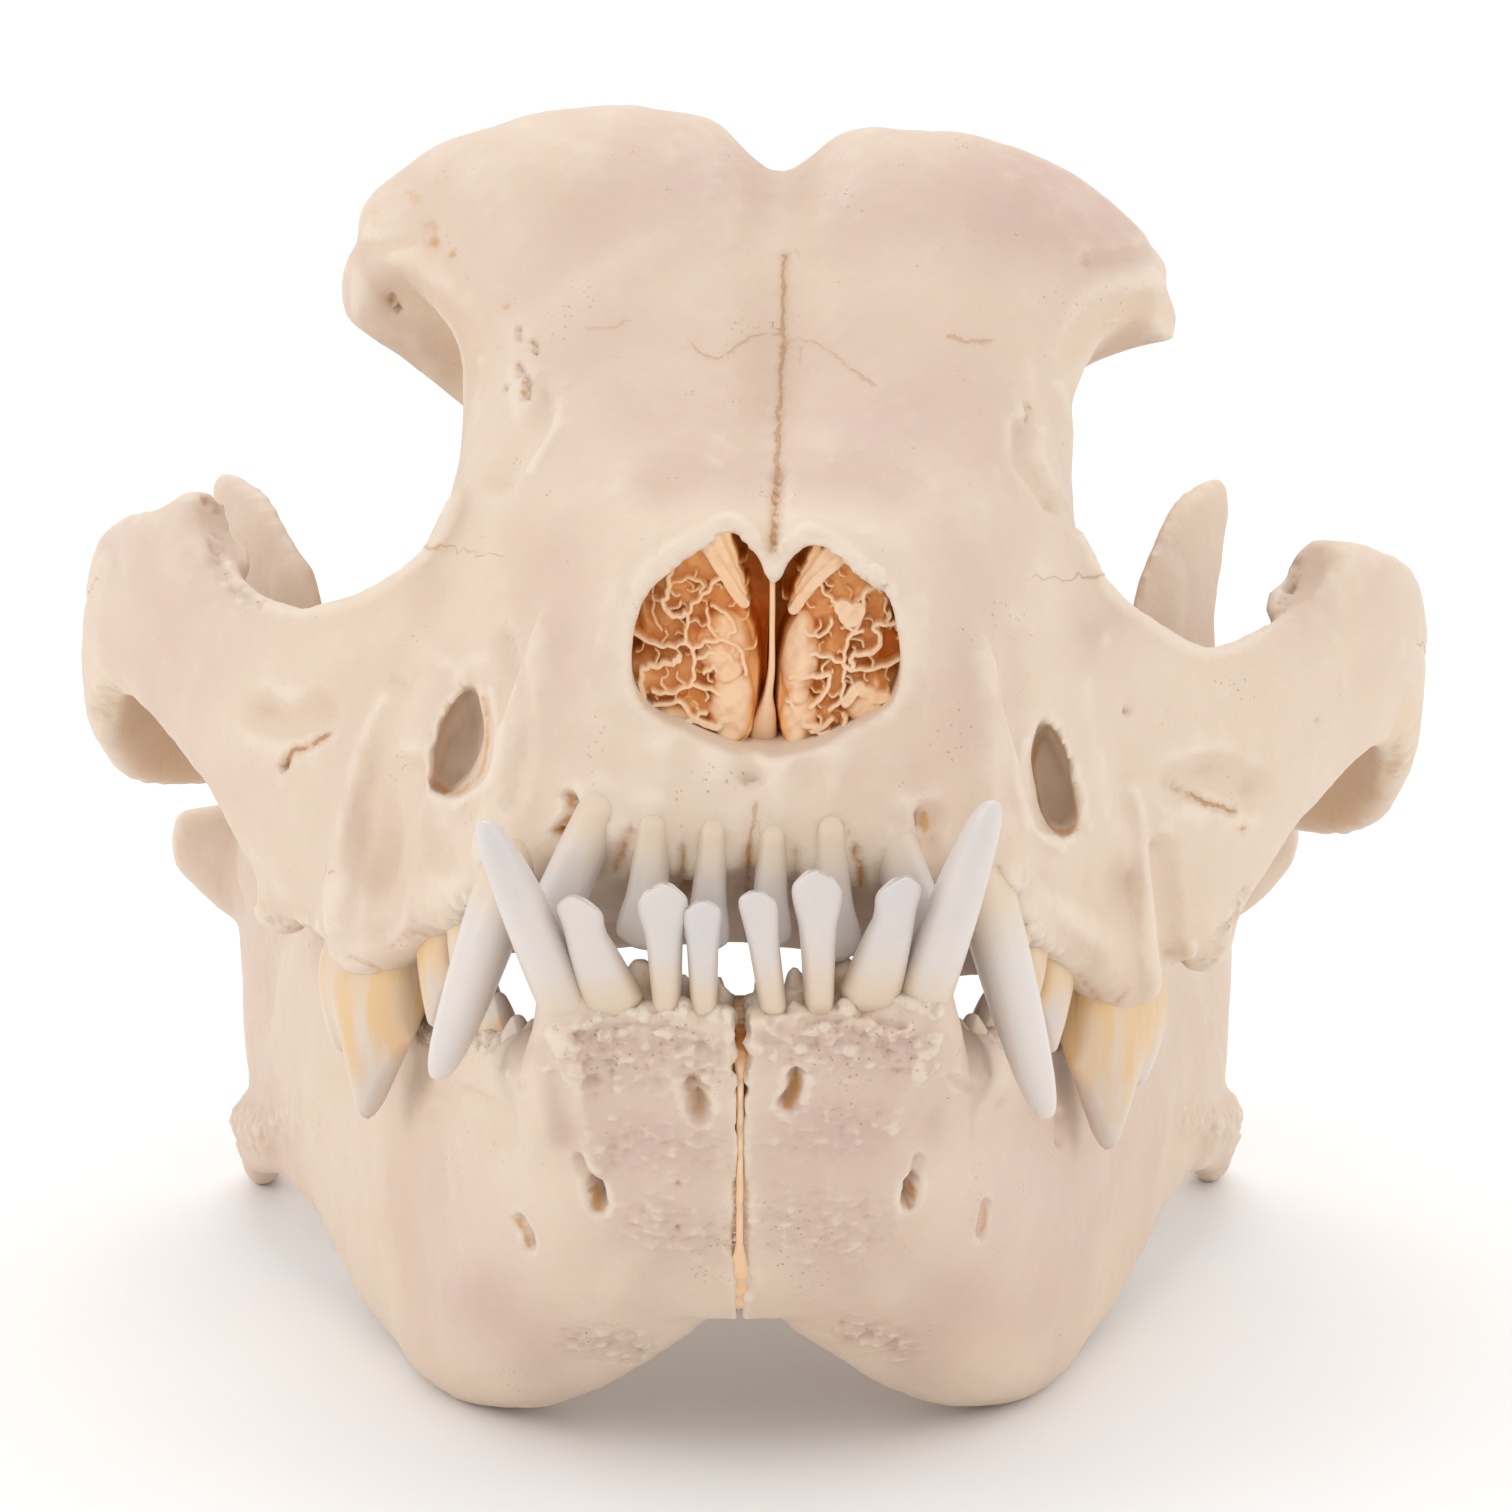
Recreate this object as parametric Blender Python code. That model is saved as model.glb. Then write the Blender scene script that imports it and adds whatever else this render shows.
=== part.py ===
"""A dog's skull, short-faced, with both halves of the lower jaw, life size.

The shapes are worked out in millimetres with the face towards -Y, the picture's right
at +X and the table at Z = 0. Each node is written in metres at the end.
"""
import math

import bmesh
import bpy
import numpy as np
from mathutils import Matrix, Vector

MM = 0.001

# Driving sizes of the whole skull.
ZYGOMATIC_WIDTH = 140.0
ARCH_OUTER = ZYGOMATIC_WIDTH / 2.0
FOREHEAD_TOP = 126.0
MIDDLE_Y = 88.3
NODE_GAP = 0.3

# The cranium leans a little to one side on the jaw, and the jaw is turned a little.
CRANIUM_ROLL = math.radians(2.5)
ROLL_HEIGHT = 71.0
JAW_YAW = math.radians(0.6)
YAW_PIVOT = 20.0
JAW_SHIFT = -1.0
# The dome on the picture's right is a little lower and narrower than the left one.
RIGHT_DOME_DROP = 1.0
RIGHT_DOME_SHARE = 0.92

# Gaps and thicknesses of the small parts.
SYMPHYSIS_GAP = 0.9
TURBINATE_GAP = 0.35
TURBINATE_FRONT = 21.0
SEPTUM_THICK = 1.2
SEPTUM_CLEAR = 1.2
# The thin cuts: centre, normal, width and height.
FACE_CUT = ((0.0, 59.0, 73.0), (0.0, 0.923, 0.385), 74.0, 90.0)
BACK_CUT = ((0.0, 95.0, 85.0), (0.0, 1.0, 0.08), 88.0, 120.0)
CHEEK_CUT = ((44.5, 56.5, 62.0), (0.68, 0.73, 0.0), 26.0, 44.0)
TEMPLE_CUT = ((52.5, 128.0, 50.0), (-0.8, 0.6, 0.0), 24.0, 24.0)

# Sizes of the faceted surface.
CRANIUM_VOXEL = 1.3
JAW_VOXEL = 1.1
CRANIUM_TRIANGLES = 5800
JAW_TRIANGLES = 1500

# Colours as they show on the bone and in the nose.
BONE = (0.80, 0.68, 0.56)
TURBINATE = (0.72, 0.42, 0.16)

# Sections of the cranium's core from the muzzle to the back of the head: the place along Y,
# the floor's height and half width, the waist's, the shoulder's, then the height of the two
# lobes, their distance from the middle and the height of the groove between them.
CORE_SECTIONS = (
    (9.0, 64.0, 9.0, 67.0, 12.5, 70.0, 11.0, 71.5, 5.0, 71.5),
    (12.5, 62.5, 16.0, 67.0, 18.0, 72.5, 15.0, 74.5, 6.0, 73.8),
    (17.0, 60.0, 21.0, 66.0, 22.5, 80.0, 17.0, 88.0, 9.0, 84.0),
    (22.0, 57.5, 24.0, 66.0, 25.0, 86.0, 17.0, 95.0, 5.0, 93.5),
    (28.0, 55.0, 26.0, 68.0, 26.5, 89.0, 19.0, 97.0, 6.0, 96.0),
    (33.0, 53.5, 28.5, 68.0, 30.5, 92.0, 21.5, 99.0, 7.0, 97.5),
    (40.0, 51.0, 32.0, 69.0, 34.5, 95.0, 24.0, 102.0, 9.0, 99.5),
    (48.0, 47.5, 35.0, 70.0, 36.0, 99.0, 26.5, 106.5, 11.0, 102.5),
    (56.0, 44.5, 33.0, 77.0, 34.0, 105.0, 27.5, 114.0, 14.0, 109.0),
    (64.0, 43.0, 24.0, 94.0, 26.5, 109.0, 34.0, 121.5, 15.5, 115.5),
    (72.0, 43.0, 17.0, 95.0, 26.0, 111.5, 40.5, 125.3, 16.0, 118.8),
    (80.0, 46.0, 14.0, 93.0, 25.0, 111.5, 41.5, FOREHEAD_TOP, 16.5, 119.3),
    (90.0, 50.0, 13.0, 85.0, 25.0, 109.0, 36.0, 123.3, 16.0, 117.0),
    (102.0, 51.0, 14.0, 80.0, 26.0, 104.0, 26.5, 116.5, 11.0, 113.5),
    (114.0, 49.0, 21.0, 76.0, 29.5, 99.0, 26.0, 112.0, 7.0, 110.5),
    (128.0, 48.0, 25.0, 73.0, 31.0, 96.0, 25.0, 109.0, 5.0, 108.5),
    (142.0, 48.0, 26.0, 70.0, 30.5, 92.0, 23.0, 106.0, 4.0, 106.0),
    (154.0, 48.0, 22.0, 68.0, 28.5, 89.0, 19.5, 103.0, 4.0, 103.0),
    (163.0, 49.0, 17.0, 66.0, 24.0, 87.0, 15.5, 101.0, 4.0, 101.0),
    (170.0, 51.0, 14.0, 64.0, 18.0, 84.0, 11.0, 98.5, 3.0, 98.5),
)

# Stations of the cheek's arch: its middle across, its place along Y, its lower and upper edge
# and its half thickness. The first and last lie inside the muzzle and the braincase.
ARCH = (
    (30.0, 44.0, 54.0, 83.0, 4.0),
    (37.0, 50.0, 47.0, 81.6, 4.6),
    (43.5, 56.0, 45.5, 78.4, 4.6),
    (48.5, 61.5, 49.5, 77.8, 4.2),
    (53.5, 67.5, 56.0, 79.6, 3.8),
    (58.5, 74.0, 60.0, 84.2, 3.4),
    (ARCH_OUTER - 7.0, 80.5, 62.6, 83.0, 3.2),
    (ARCH_OUTER - 3.6, 89.0, 59.5, 79.5, 3.0),
    (ARCH_OUTER - 2.9, 99.0, 52.5, 74.0, 2.9),
    (ARCH_OUTER - 4.6, 109.0, 47.0, 68.0, 3.0),
    (ARCH_OUTER - 9.0, 119.0, 44.2, 62.0, 3.4),
    (54.0, 127.0, 44.2, 57.4, 4.5),
    (45.0, 131.5, 45.8, 58.0, 6.5),
    (34.0, 132.0, 46.4, 61.0, 8.5),
    (20.0, 132.0, 47.0, 66.0, 10.0),
)
# The ridge of bone that holds the cheek teeth.
TOOTH_RIDGE = (
    (22.5, 22.0, 61.5, 3.6, 4.0),
    (26.5, 30.0, 57.5, 3.6, 4.2),
    (30.5, 39.0, 53.5, 4.0, 4.6),
    (35.5, 48.0, 48.0, 4.6, 6.0),
    (36.0, 57.0, 47.0, 4.4, 5.0),
    (30.0, 66.0, 47.0, 3.6, 4.0),
)
# The swelling over the root of each upper canine: centre and the two half widths.
CANINE_ROOT = (
    (22.3, 18.0, 61.0, 4.6, 5.0),
    (21.0, 20.0, 69.0, 4.8, 5.2),
    (18.8, 24.5, 79.0, 4.2, 4.6),
    (17.5, 30.0, 87.0, 2.8, 3.0),
)
# The canal under each eye, which opens on the cheek and into the eye's socket.
CANAL = (
    (27.4, 20.0, 73.2, 1.8, 3.8),
    (28.2, 27.0, 71.8, 2.5, 4.6),
    (29.6, 38.0, 69.5, 2.7, 4.4),
    (33.0, 52.0, 67.5, 3.2, 4.4),
    (37.0, 66.0, 66.5, 3.6, 4.6),
)
# The process over each eye, by side: the right one in the picture is shorter and higher.
POSTORBITAL = {
    1: ((26.0, 79.0, 94.0, 116.0, 7.0), (33.0, 77.5, 101.4, 113.5, 5.4), (39.2, 75.5, 104.8, 112.0, 4.4)),
    -1: ((26.0, 79.0, 90.0, 116.0, 7.0), (34.0, 77.5, 97.6, 112.5, 5.4), (42.2, 75.5, 103.6, 110.6, 4.4)),
}

# Sections of one half of the lower jaw: the place along Y, the inner and outer side and the
# lower and upper edge.
JAW_SECTIONS = (
    (8.0, -4.0, 14.0, 40.0, 49.0),
    (11.0, -4.0, 17.5, 33.0, 50.5),
    (15.0, -4.0, 20.0, 26.5, 49.5),
    (20.0, -4.0, 22.0, 20.0, 48.0),
    (26.0, -2.0, 24.5, 14.5, 45.5),
    (32.0, 3.5, 27.0, 8.5, 43.0),
    (38.0, 9.5, 29.5, 3.8, 41.0),
    (46.0, 15.0, 32.5, 0.6, 39.5),
    (54.0, 19.5, 35.5, -0.6, 38.0),
    (64.0, 24.5, 38.0, 0.0, 37.0),
    (76.0, 31.5, 42.0, 2.2, 37.0),
    (90.0, 38.5, 45.8, 6.0, 41.0),
    (104.0, 44.0, 50.4, 7.5, 47.0),
    (116.0, 47.0, 52.4, 7.0, 46.0),
    (124.0, 49.0, 53.2, 7.5, 42.0),
    (130.5, 50.4, 53.6, 13.0, 39.0),
)
# The chin's plate behind the lower incisors: height, outer side, front and back.
CHIN = (
    (52.6, 17.6, 3.6, 12.0),
    (50.0, 18.2, 3.2, 14.0),
    (44.0, 17.6, 5.0, 18.0),
    (36.0, 17.0, 8.6, 23.0),
    (28.0, 16.0, 13.0, 29.0),
    (21.0, 14.0, 18.0, 33.0),
    (17.0, 10.0, 22.0, 32.0),
)
# The jaw's upright blade: height, middle across and along Y, half length, half thickness and
# how far it turns out from straight ahead, in degrees.
BLADE = (
    (36.0, 47.5, 108.0, 18.0, 2.8, 21.0),
    (46.0, 47.0, 105.5, 16.5, 2.5, 22.0),
    (56.0, 46.0, 102.5, 13.0, 2.3, 25.0),
    (65.0, 45.8, 101.5, 11.0, 2.1, 27.0),
    (72.0, 46.9, 103.5, 10.4, 1.9, 27.0),
    (77.0, 48.4, 106.5, 8.8, 1.7, 27.0),
    (80.6, 49.8, 109.5, 6.0, 1.4, 27.0),
    (82.0, 50.6, 111.5, 3.0, 1.0, 27.0),
)
CONDYLE = (
    (43.5, 131.0, 36.6, 41.4, 2.6),
    (48.0, 131.5, 32.0, 42.8, 3.6),
    (55.0, 132.0, 30.5, 42.4, 3.6),
    (61.0, 132.5, 37.6, 41.2, 2.4),
)
ANGLE = (
    (48.5, 104.0, 8.0, 17.0, 2.4),
    (50.6, 114.0, 5.2, 15.0, 2.6),
    (52.0, 122.0, 2.6, 12.5, 2.6),
    (52.4, 129.0, -0.7, 9.5, 2.3),
    (52.5, 134.5, 0.3, 7.0, 1.5),
)

# Teeth of the upper and the lower row on one side: the kind, the neck, the tip, the length
# along the row and the width across it. A row's last number turns the tooth, in degrees.
UPPER_TEETH = (
    ("incisor", (3.5, 10.5, 65.0), (3.8, 9.5, 57.8), 4.6, 4.6, 0.0),
    ("incisor", (8.8, 11.0, 65.4), (10.2, 9.8, 57.6), 5.2, 5.0, 12.0),
    ("canine", (14.4, 13.0, 66.0), (18.2, 11.6, 58.2), 5.6, 5.6, 25.0),
    ("canine", (22.0, 17.0, 62.5), (29.0, 17.6, 40.8), 6.6, 8.8, 0.0),
    ("premolar", (25.8, 25.5, 58.5), (26.4, 25.2, 53.5), 4.6, 3.6, 80.0),
    ("premolar", (26.6, 31.5, 54.5), (27.8, 31.0, 46.5), 7.0, 4.0, 66.0),
    ("premolar", (30.2, 39.5, 50.5), (31.2, 39.5, 37.0), 9.0, 4.8, 62.0),
    ("premolar", (36.6, 49.5, 44.5), (37.2, 49.5, 29.2), 15.0, 8.0, 55.0),
    ("molar", (34.0, 60.0, 45.5), (34.4, 60.0, 41.4), 9.0, 9.0, 60.0),
    ("molar", (28.0, 66.5, 44.5), (28.0, 66.5, 40.8), 5.0, 6.5, 60.0),
)
LOWER_TEETH = (
    ("incisor", (2.9, 4.6, 53.5), (2.5, 1.2, 64.6), 4.2, 4.4, 0.0),
    ("incisor", (7.2, 4.8, 53.5), (7.2, 1.2, 66.4), 4.8, 4.6, 8.0),
    ("incisor", (12.2, 5.6, 53.5), (14.6, 1.6, 65.4), 5.6, 5.0, 18.0),
    ("canine", (16.0, 7.5, 52.5), (23.1, 0.4, 73.2), 6.2, 7.6, 0.0),
    ("premolar", (20.0, 19.0, 47.0), (20.0, 19.0, 51.0), 4.0, 3.2, 80.0),
    ("premolar", (22.0, 26.0, 43.5), (22.0, 26.0, 49.0), 6.5, 3.6, 75.0),
    ("premolar", (24.0, 33.5, 41.0), (24.0, 33.5, 47.6), 7.5, 4.2, 75.0),
    ("premolar", (26.0, 42.0, 39.0), (26.0, 42.0, 46.5), 8.5, 4.8, 75.0),
    ("premolar", (28.4, 52.0, 37.0), (28.0, 50.5, 42.6), 15.0, 6.0, 72.0),
    ("molar", (33.3, 66.0, 36.0), (33.3, 66.0, 39.2), 7.5, 5.5, 70.0),
    ("molar", (37.5, 73.5, 36.0), (37.5, 73.5, 38.6), 3.8, 3.6, 70.0),
)
CANINE_BEND = 5.0
# How a tooth's length and width shrink from its root to its tip, by kind: the share of the
# way from the neck to the tip, then the share of the length and of the width.
TOOTH_PROFILES = {
    "canine": ((-0.3, 0.6, 0.6), (0.0, 1.0, 1.0), (0.35, 0.9, 0.9), (0.7, 0.66, 0.68),
               (0.93, 0.32, 0.34), (1.0, 0.08, 0.08)),
    "incisor": ((-0.7, 0.5, 0.7), (0.0, 0.62, 0.85), (0.4, 0.85, 1.0), (0.75, 1.0, 0.8),
                (0.96, 0.8, 0.42), (1.0, 0.6, 0.2)),
    "premolar": ((-0.35, 0.6, 0.6), (0.0, 0.96, 0.95), (0.3, 0.86, 0.86), (0.65, 0.5, 0.55),
                 (0.93, 0.22, 0.26), (1.0, 0.06, 0.08)),
    "molar": ((-0.8, 0.8, 0.8), (0.0, 0.92, 0.92), (0.5, 1.0, 1.0), (0.85, 0.86, 0.86),
              (1.0, 0.5, 0.5)),
}


def catmull(points, steps):
    """A smooth curve through rows of numbers, with a few steps between each two rows."""
    rows = np.array(points, dtype=float)
    padded = np.vstack([2 * rows[0] - rows[1], rows, 2 * rows[-1] - rows[-2]])
    result = []
    for index in range(1, len(padded) - 2):
        before, start, end, after = padded[index - 1:index + 3]
        for step in range(steps):
            t = step / steps
            result.append(0.5 * (2 * start + (end - before) * t
                                 + (2 * before - 5 * start + 4 * end - after) * t * t
                                 + (3 * start - before - 3 * end + after) * t ** 3))
    result.append(rows[-1])
    return np.array(result)


def loft(bm, rings):
    """A closed skin over rings of points, extruded from ring to ring and capped."""
    count = len(rings[0])
    start = bmesh.ops.create_circle(bm, cap_ends=True, segments=count, radius=1.0)["verts"]
    ring = list(start)
    for vert, point in zip(ring, rings[0]):
        vert.co = point
    for points in rings[1:]:
        edges = [bm.edges.get((ring[k], ring[(k + 1) % count])) for k in range(count)]
        made = bmesh.ops.extrude_edge_only(bm, edges=edges)["geom"]
        fresh = {item for item in made if isinstance(item, bmesh.types.BMVert)}
        ring = [next(edge.other_vert(vert) for edge in vert.link_edges
                     if edge.other_vert(vert) in fresh) for vert in ring]
        for vert, point in zip(ring, points):
            vert.co = point
    bm.faces.new(ring)


def ring_at(centre, across, up, half_across, half_up, segments=16):
    """An ellipse of points round a centre."""
    return [centre + across * (half_across * math.cos(turn)) + up * (half_up * math.sin(turn))
            for turn in (2 * math.pi * k / segments for k in range(segments))]


def limb(bm, stations, steps=4, segments=16, upright=True):
    """A limb of elliptic sections along a smooth path."""
    rows = catmull(stations, steps)
    centres = [Vector(row[:3]) for row in rows]
    rings = []
    for index, row in enumerate(rows):
        ahead = centres[min(index + 1, len(rows) - 1)] - centres[max(index - 1, 0)]
        ahead.normalize()
        reference = Vector((0.0, 0.0, 1.0)) if upright else Vector((0.0, 1.0, 0.0))
        across = ahead.cross(reference).normalized()
        up = across.cross(ahead).normalized()
        rings.append(ring_at(centres[index], across, up, row[3], row[4], segments))
    loft(bm, rings)


def band(bm, stations, steps=4, segments=16, power=0.9):
    """A limb whose sections stand upright between a lower and an upper edge."""
    rows = catmull(stations, steps)
    rings = []
    for index, row in enumerate(rows):
        ahead = rows[min(index + 1, len(rows) - 1)][:2] - rows[max(index - 1, 0)][:2]
        ahead = Vector((*ahead, 0.0)).normalized()
        across = ahead.cross(Vector((0.0, 0.0, 1.0)))
        centre = Vector((row[0], row[1], 0.5 * (row[2] + row[3])))
        rings.append([centre + across * (row[4] * rounded(math.cos(turn), power))
                      + Vector((0.0, 0.0, 0.5 * (row[3] - row[2]) * rounded(math.sin(turn), power)))
                      for turn in (2 * math.pi * k / segments for k in range(segments))])
    loft(bm, rings)


def rounded(value, power):
    """A cosine or sine raised to a power with its sign kept: below 1 it squares an ellipse."""
    return math.copysign(abs(value) ** power, value)


def blob(bm, centre, radii, turn=(0.0, 0.0, 0.0)):
    """A rounded lump, an ellipsoid turned by angles in degrees."""
    matrix = Matrix.Translation(centre)
    for angle, axis in zip(turn, "XYZ"):
        matrix = matrix @ Matrix.Rotation(math.radians(angle), 4, axis)
    matrix = matrix @ Matrix.Diagonal((*radii, 1.0))
    bmesh.ops.create_icosphere(bm, subdivisions=3, radius=1.0, matrix=matrix)


def mirrored(stations, side):
    """The same stations on the other side when side is -1."""
    return [(side * row[0], *row[1:]) for row in stations]


def core_ring(row):
    """The outline of one section through the core, the right half and its mirror image."""
    y, floor_z, floor_w, waist_z, waist_w, shoulder_z, shoulder_w, roof_z, lobe_x, groove_z = row
    reach, drop = shoulder_w - lobe_x, roof_z - shoulder_z
    right = [(0.0, floor_z + 1.5), (0.62 * floor_w, floor_z), (0.97 * floor_w, floor_z + 2.5),
             (waist_w, waist_z), (shoulder_w, shoulder_z),
             (lobe_x + 0.76 * reach, roof_z - 0.4 * drop), (lobe_x + 0.42 * reach, roof_z - 0.14 * drop),
             (lobe_x, roof_z), (0.38 * lobe_x, groove_z + 0.8 * (roof_z - groove_z)), (0.0, groove_z)]
    left = [(-x, z) for x, z in reversed(right[1:-1])]
    outline = catmull(right + left + right[:1], 4)[:-1]
    return [Vector((x, y, z)) for x, z in outline]


def new_object(name, bm):
    """An object that holds a finished bmesh."""
    bmesh.ops.recalc_face_normals(bm, faces=bm.faces[:])
    mesh = bpy.data.meshes.new(name)
    bm.to_mesh(mesh)
    bm.free()
    made = bpy.data.objects.new(name, mesh)
    bpy.context.scene.collection.objects.link(made)
    return made


def applied(made):
    """The object with its modifiers applied."""
    graph = bpy.context.evaluated_depsgraph_get()
    mesh = bpy.data.meshes.new_from_object(made.evaluated_get(graph), depsgraph=graph)
    old = made.data
    made.modifiers.clear()
    made.data = mesh
    bpy.data.meshes.remove(old)
    return made


def fuse(made, voxel):
    """One skin round overlapping closed shapes."""
    remesh = made.modifiers.new("Skin", "REMESH")
    remesh.mode = "VOXEL"
    remesh.voxel_size = voxel
    remesh.adaptivity = 0.0
    return applied(made)


def coordinates(mesh):
    """The vertex coordinates and normals of a mesh."""
    count = len(mesh.vertices)
    places = np.empty(count * 3)
    mesh.vertices.foreach_get("co", places)
    normals = np.empty(count * 3, dtype=np.float32)
    mesh.vertex_normals.foreach_get("vector", normals)
    return places.reshape(-1, 3), normals.reshape(-1, 3).astype(float)


def soften(made, rounds, keep=1.04):
    """Even out a fused skin, giving back most of what each pass shrinks."""
    mesh = made.data
    places, _ = coordinates(mesh)
    edges = np.empty(len(mesh.edges) * 2, dtype=np.int64)
    mesh.edges.foreach_get("vertices", edges)
    edges = edges.reshape(-1, 2)
    valence = np.bincount(edges.ravel(), minlength=len(places)).reshape(-1, 1)
    for step in range(2 * rounds):
        total = np.zeros_like(places)
        np.add.at(total, edges[:, 0], places[edges[:, 1]])
        np.add.at(total, edges[:, 1], places[edges[:, 0]])
        shift = total / valence - places
        places += (0.5 if step % 2 == 0 else -0.5 / keep) * shift
    mesh.vertices.foreach_set("co", places.ravel())
    mesh.update()
    return made


def combine(made, other, operation, solver="EXACT"):
    """One Boolean with another object, which is removed."""
    change = made.modifiers.new("Change", "BOOLEAN")
    change.operation = operation
    change.object = other
    change.solver = solver
    applied(made)
    bpy.data.objects.remove(other)
    return made


def join_pieces(made, pieces):
    """Union with a collection of closed pieces, which are then removed."""
    group = bpy.data.collections.new("Pieces")
    for piece in pieces:
        bpy.context.scene.collection.objects.unlink(piece)
        group.objects.link(piece)
    union = made.modifiers.new("Join", "BOOLEAN")
    union.operand_type = "COLLECTION"
    union.collection = group
    union.operation = "UNION"
    union.solver = "MANIFOLD"
    applied(made)
    for piece in pieces:
        bpy.data.objects.remove(piece)
    bpy.data.collections.remove(group)
    return made


def thin_out(made, triangles):
    """Fewer triangles, with the shape kept."""
    mesh = made.data
    mesh.calc_loop_triangles()
    count = len(mesh.loop_triangles)
    decimate = made.modifiers.new("Thin", "DECIMATE")
    decimate.ratio = min(1.0, triangles / count)
    decimate.use_collapse_triangulate = True
    return applied(made)


def shells(made):
    """The separate closed surfaces of a mesh, each as its own bmesh, largest first."""
    bm = bmesh.new()
    bm.from_mesh(made.data)
    seen = set()
    groups = []
    for face in bm.faces:
        if face in seen:
            continue
        stack = [face]
        seen.add(face)
        group = []
        while stack:
            current = stack.pop()
            group.append(current)
            for edge in current.edges:
                for other in edge.link_faces:
                    if other not in seen:
                        seen.add(other)
                        stack.append(other)
        groups.append(group)
    groups.sort(key=len, reverse=True)
    results = []
    for group in groups:
        keep = {face.index for face in group}
        part = bmesh.new()
        part.from_mesh(made.data)
        part.faces.ensure_lookup_table()
        drop = [face for face in part.faces if face.index not in keep]
        bmesh.ops.delete(part, geom=drop, context="FACES")
        results.append(part)
    bm.free()
    return results


def largest_shell(made):
    """Keep only the largest closed surface of an object."""
    parts = shells(made)
    parts[0].to_mesh(made.data)
    for part in parts:
        part.free()
    return made


def slab(name, centre, normal, width, height, thick=NODE_GAP):
    """A thin plate that parts two nodes, level along its width."""
    bm = bmesh.new()
    facing = Vector(normal).normalized()
    level = Vector((0.0, 0.0, 1.0)).cross(facing).normalized()
    turn = Matrix((level, facing.cross(level), facing)).transposed().to_4x4()
    matrix = Matrix.Translation(centre) @ turn @ Matrix.Diagonal((width, height, thick, 1.0))
    bmesh.ops.create_cube(bm, size=1.0, matrix=matrix)
    return new_object(name, bm)


# The cranium.

def cranium_blockout():
    """The cranium's closed shapes before they are fused."""
    bm = bmesh.new()
    rings = [core_ring(row) for row in catmull(CORE_SECTIONS, 3)]
    loft(bm, rings)
    for side in (1, -1):
        band(bm, mirrored(ARCH, side))
        band(bm, mirrored(POSTORBITAL[side], side))
        limb(bm, mirrored(TOOTH_RIDGE, side), upright=False)
        limb(bm, mirrored(CANINE_ROOT, side), upright=False)
        blob(bm, (side * 57.0, 76.5, 82.0), (3.4, 3.6, 3.8))
        blob(bm, (side * 46.0, 61.0, 47.5), (3.4, 4.2, 4.2))
        blob(bm, (side * 37.0, 50.0, 50.0), (4.5, 8.5, 7.0))
        blob(bm, (side * 19.0, 142.0, 44.0), (9.0, 12.5, 8.5), (0.0, 0.0, 15.0 * side))
        blob(bm, (side * 43.0, 138.5, 46.5), (7.0, 2.2, 5.0))
        blob(bm, (side * 9.5, 171.0, 54.5), (5.2, 6.5, 8.0), (0.0, 25.0 * side, 0.0))
        limb(bm, mirrored(((21.0, 156.0, 56.0, 3.6, 4.5), (23.0, 159.0, 48.0, 2.2, 4.0),
                           (23.5, 160.5, 41.5, 1.5, 2.6)), side), upright=False)
        limb(bm, mirrored(((9.5, 70.0, 47.0, 1.8, 5.0), (10.5, 82.0, 45.0, 1.6, 6.5),
                           (11.5, 95.0, 44.5, 1.6, 6.0), (12.5, 106.0, 46.0, 1.6, 6.0)), side))
        limb(bm, mirrored(((1.0, 170.0, 99.0, 3.0, 2.6), (12.0, 166.5, 95.0, 2.2, 2.8),
                           (22.0, 160.0, 85.0, 2.0, 2.8), (28.5, 153.0, 72.0, 2.0, 2.8),
                           (31.0, 145.0, 59.0, 2.4, 3.4), (31.5, 139.0, 52.0, 3.2, 4.0)), side),
             upright=False)
    limb(bm, ((0.0, 106.0, 112.5, 2.0, 3.0), (0.0, 125.0, 109.0, 1.8, 3.5),
              (0.0, 145.0, 105.0, 1.8, 3.0), (0.0, 171.0, 100.0, 2.5, 3.5)))
    return new_object("Cranium", bm)


def nose_space(name, shrink=0.0):
    """The space of the nose, two lobes above that meet in one floor below."""
    bm = bmesh.new()
    rows = ((4.0, 1.06, 73.0), (12.0, 1.0, 73.8), (22.0, 1.0, 74.6), (34.0, 0.92, 76.5), (42.0, 0.6, 80.0))
    rings = []
    for y, scale, floor in rows:
        right = [(0.0, 0.0), (6.5, 1.6), (11.6, 4.8), (13.0, 9.6), (11.8, 15.2), (8.4, 18.8),
                 (4.6, 20.0), (1.6, 18.8), (0.0, 17.6)]
        left = [(-x, z) for x, z in reversed(right[1:-1])]
        outline = catmull(right + left + right[:1], 3)[:-1]
        centre = np.array((0.0, 9.5))
        lengths = np.linalg.norm(outline - centre, axis=1, keepdims=True)
        outline = centre + (outline - centre) * (1.0 - shrink / lengths)
        rings.append([Vector((x * scale, y - shrink * (y > 40.0), floor + z * scale)) for x, z in outline])
    loft(bm, rings)
    return new_object(name, bm)


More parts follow.
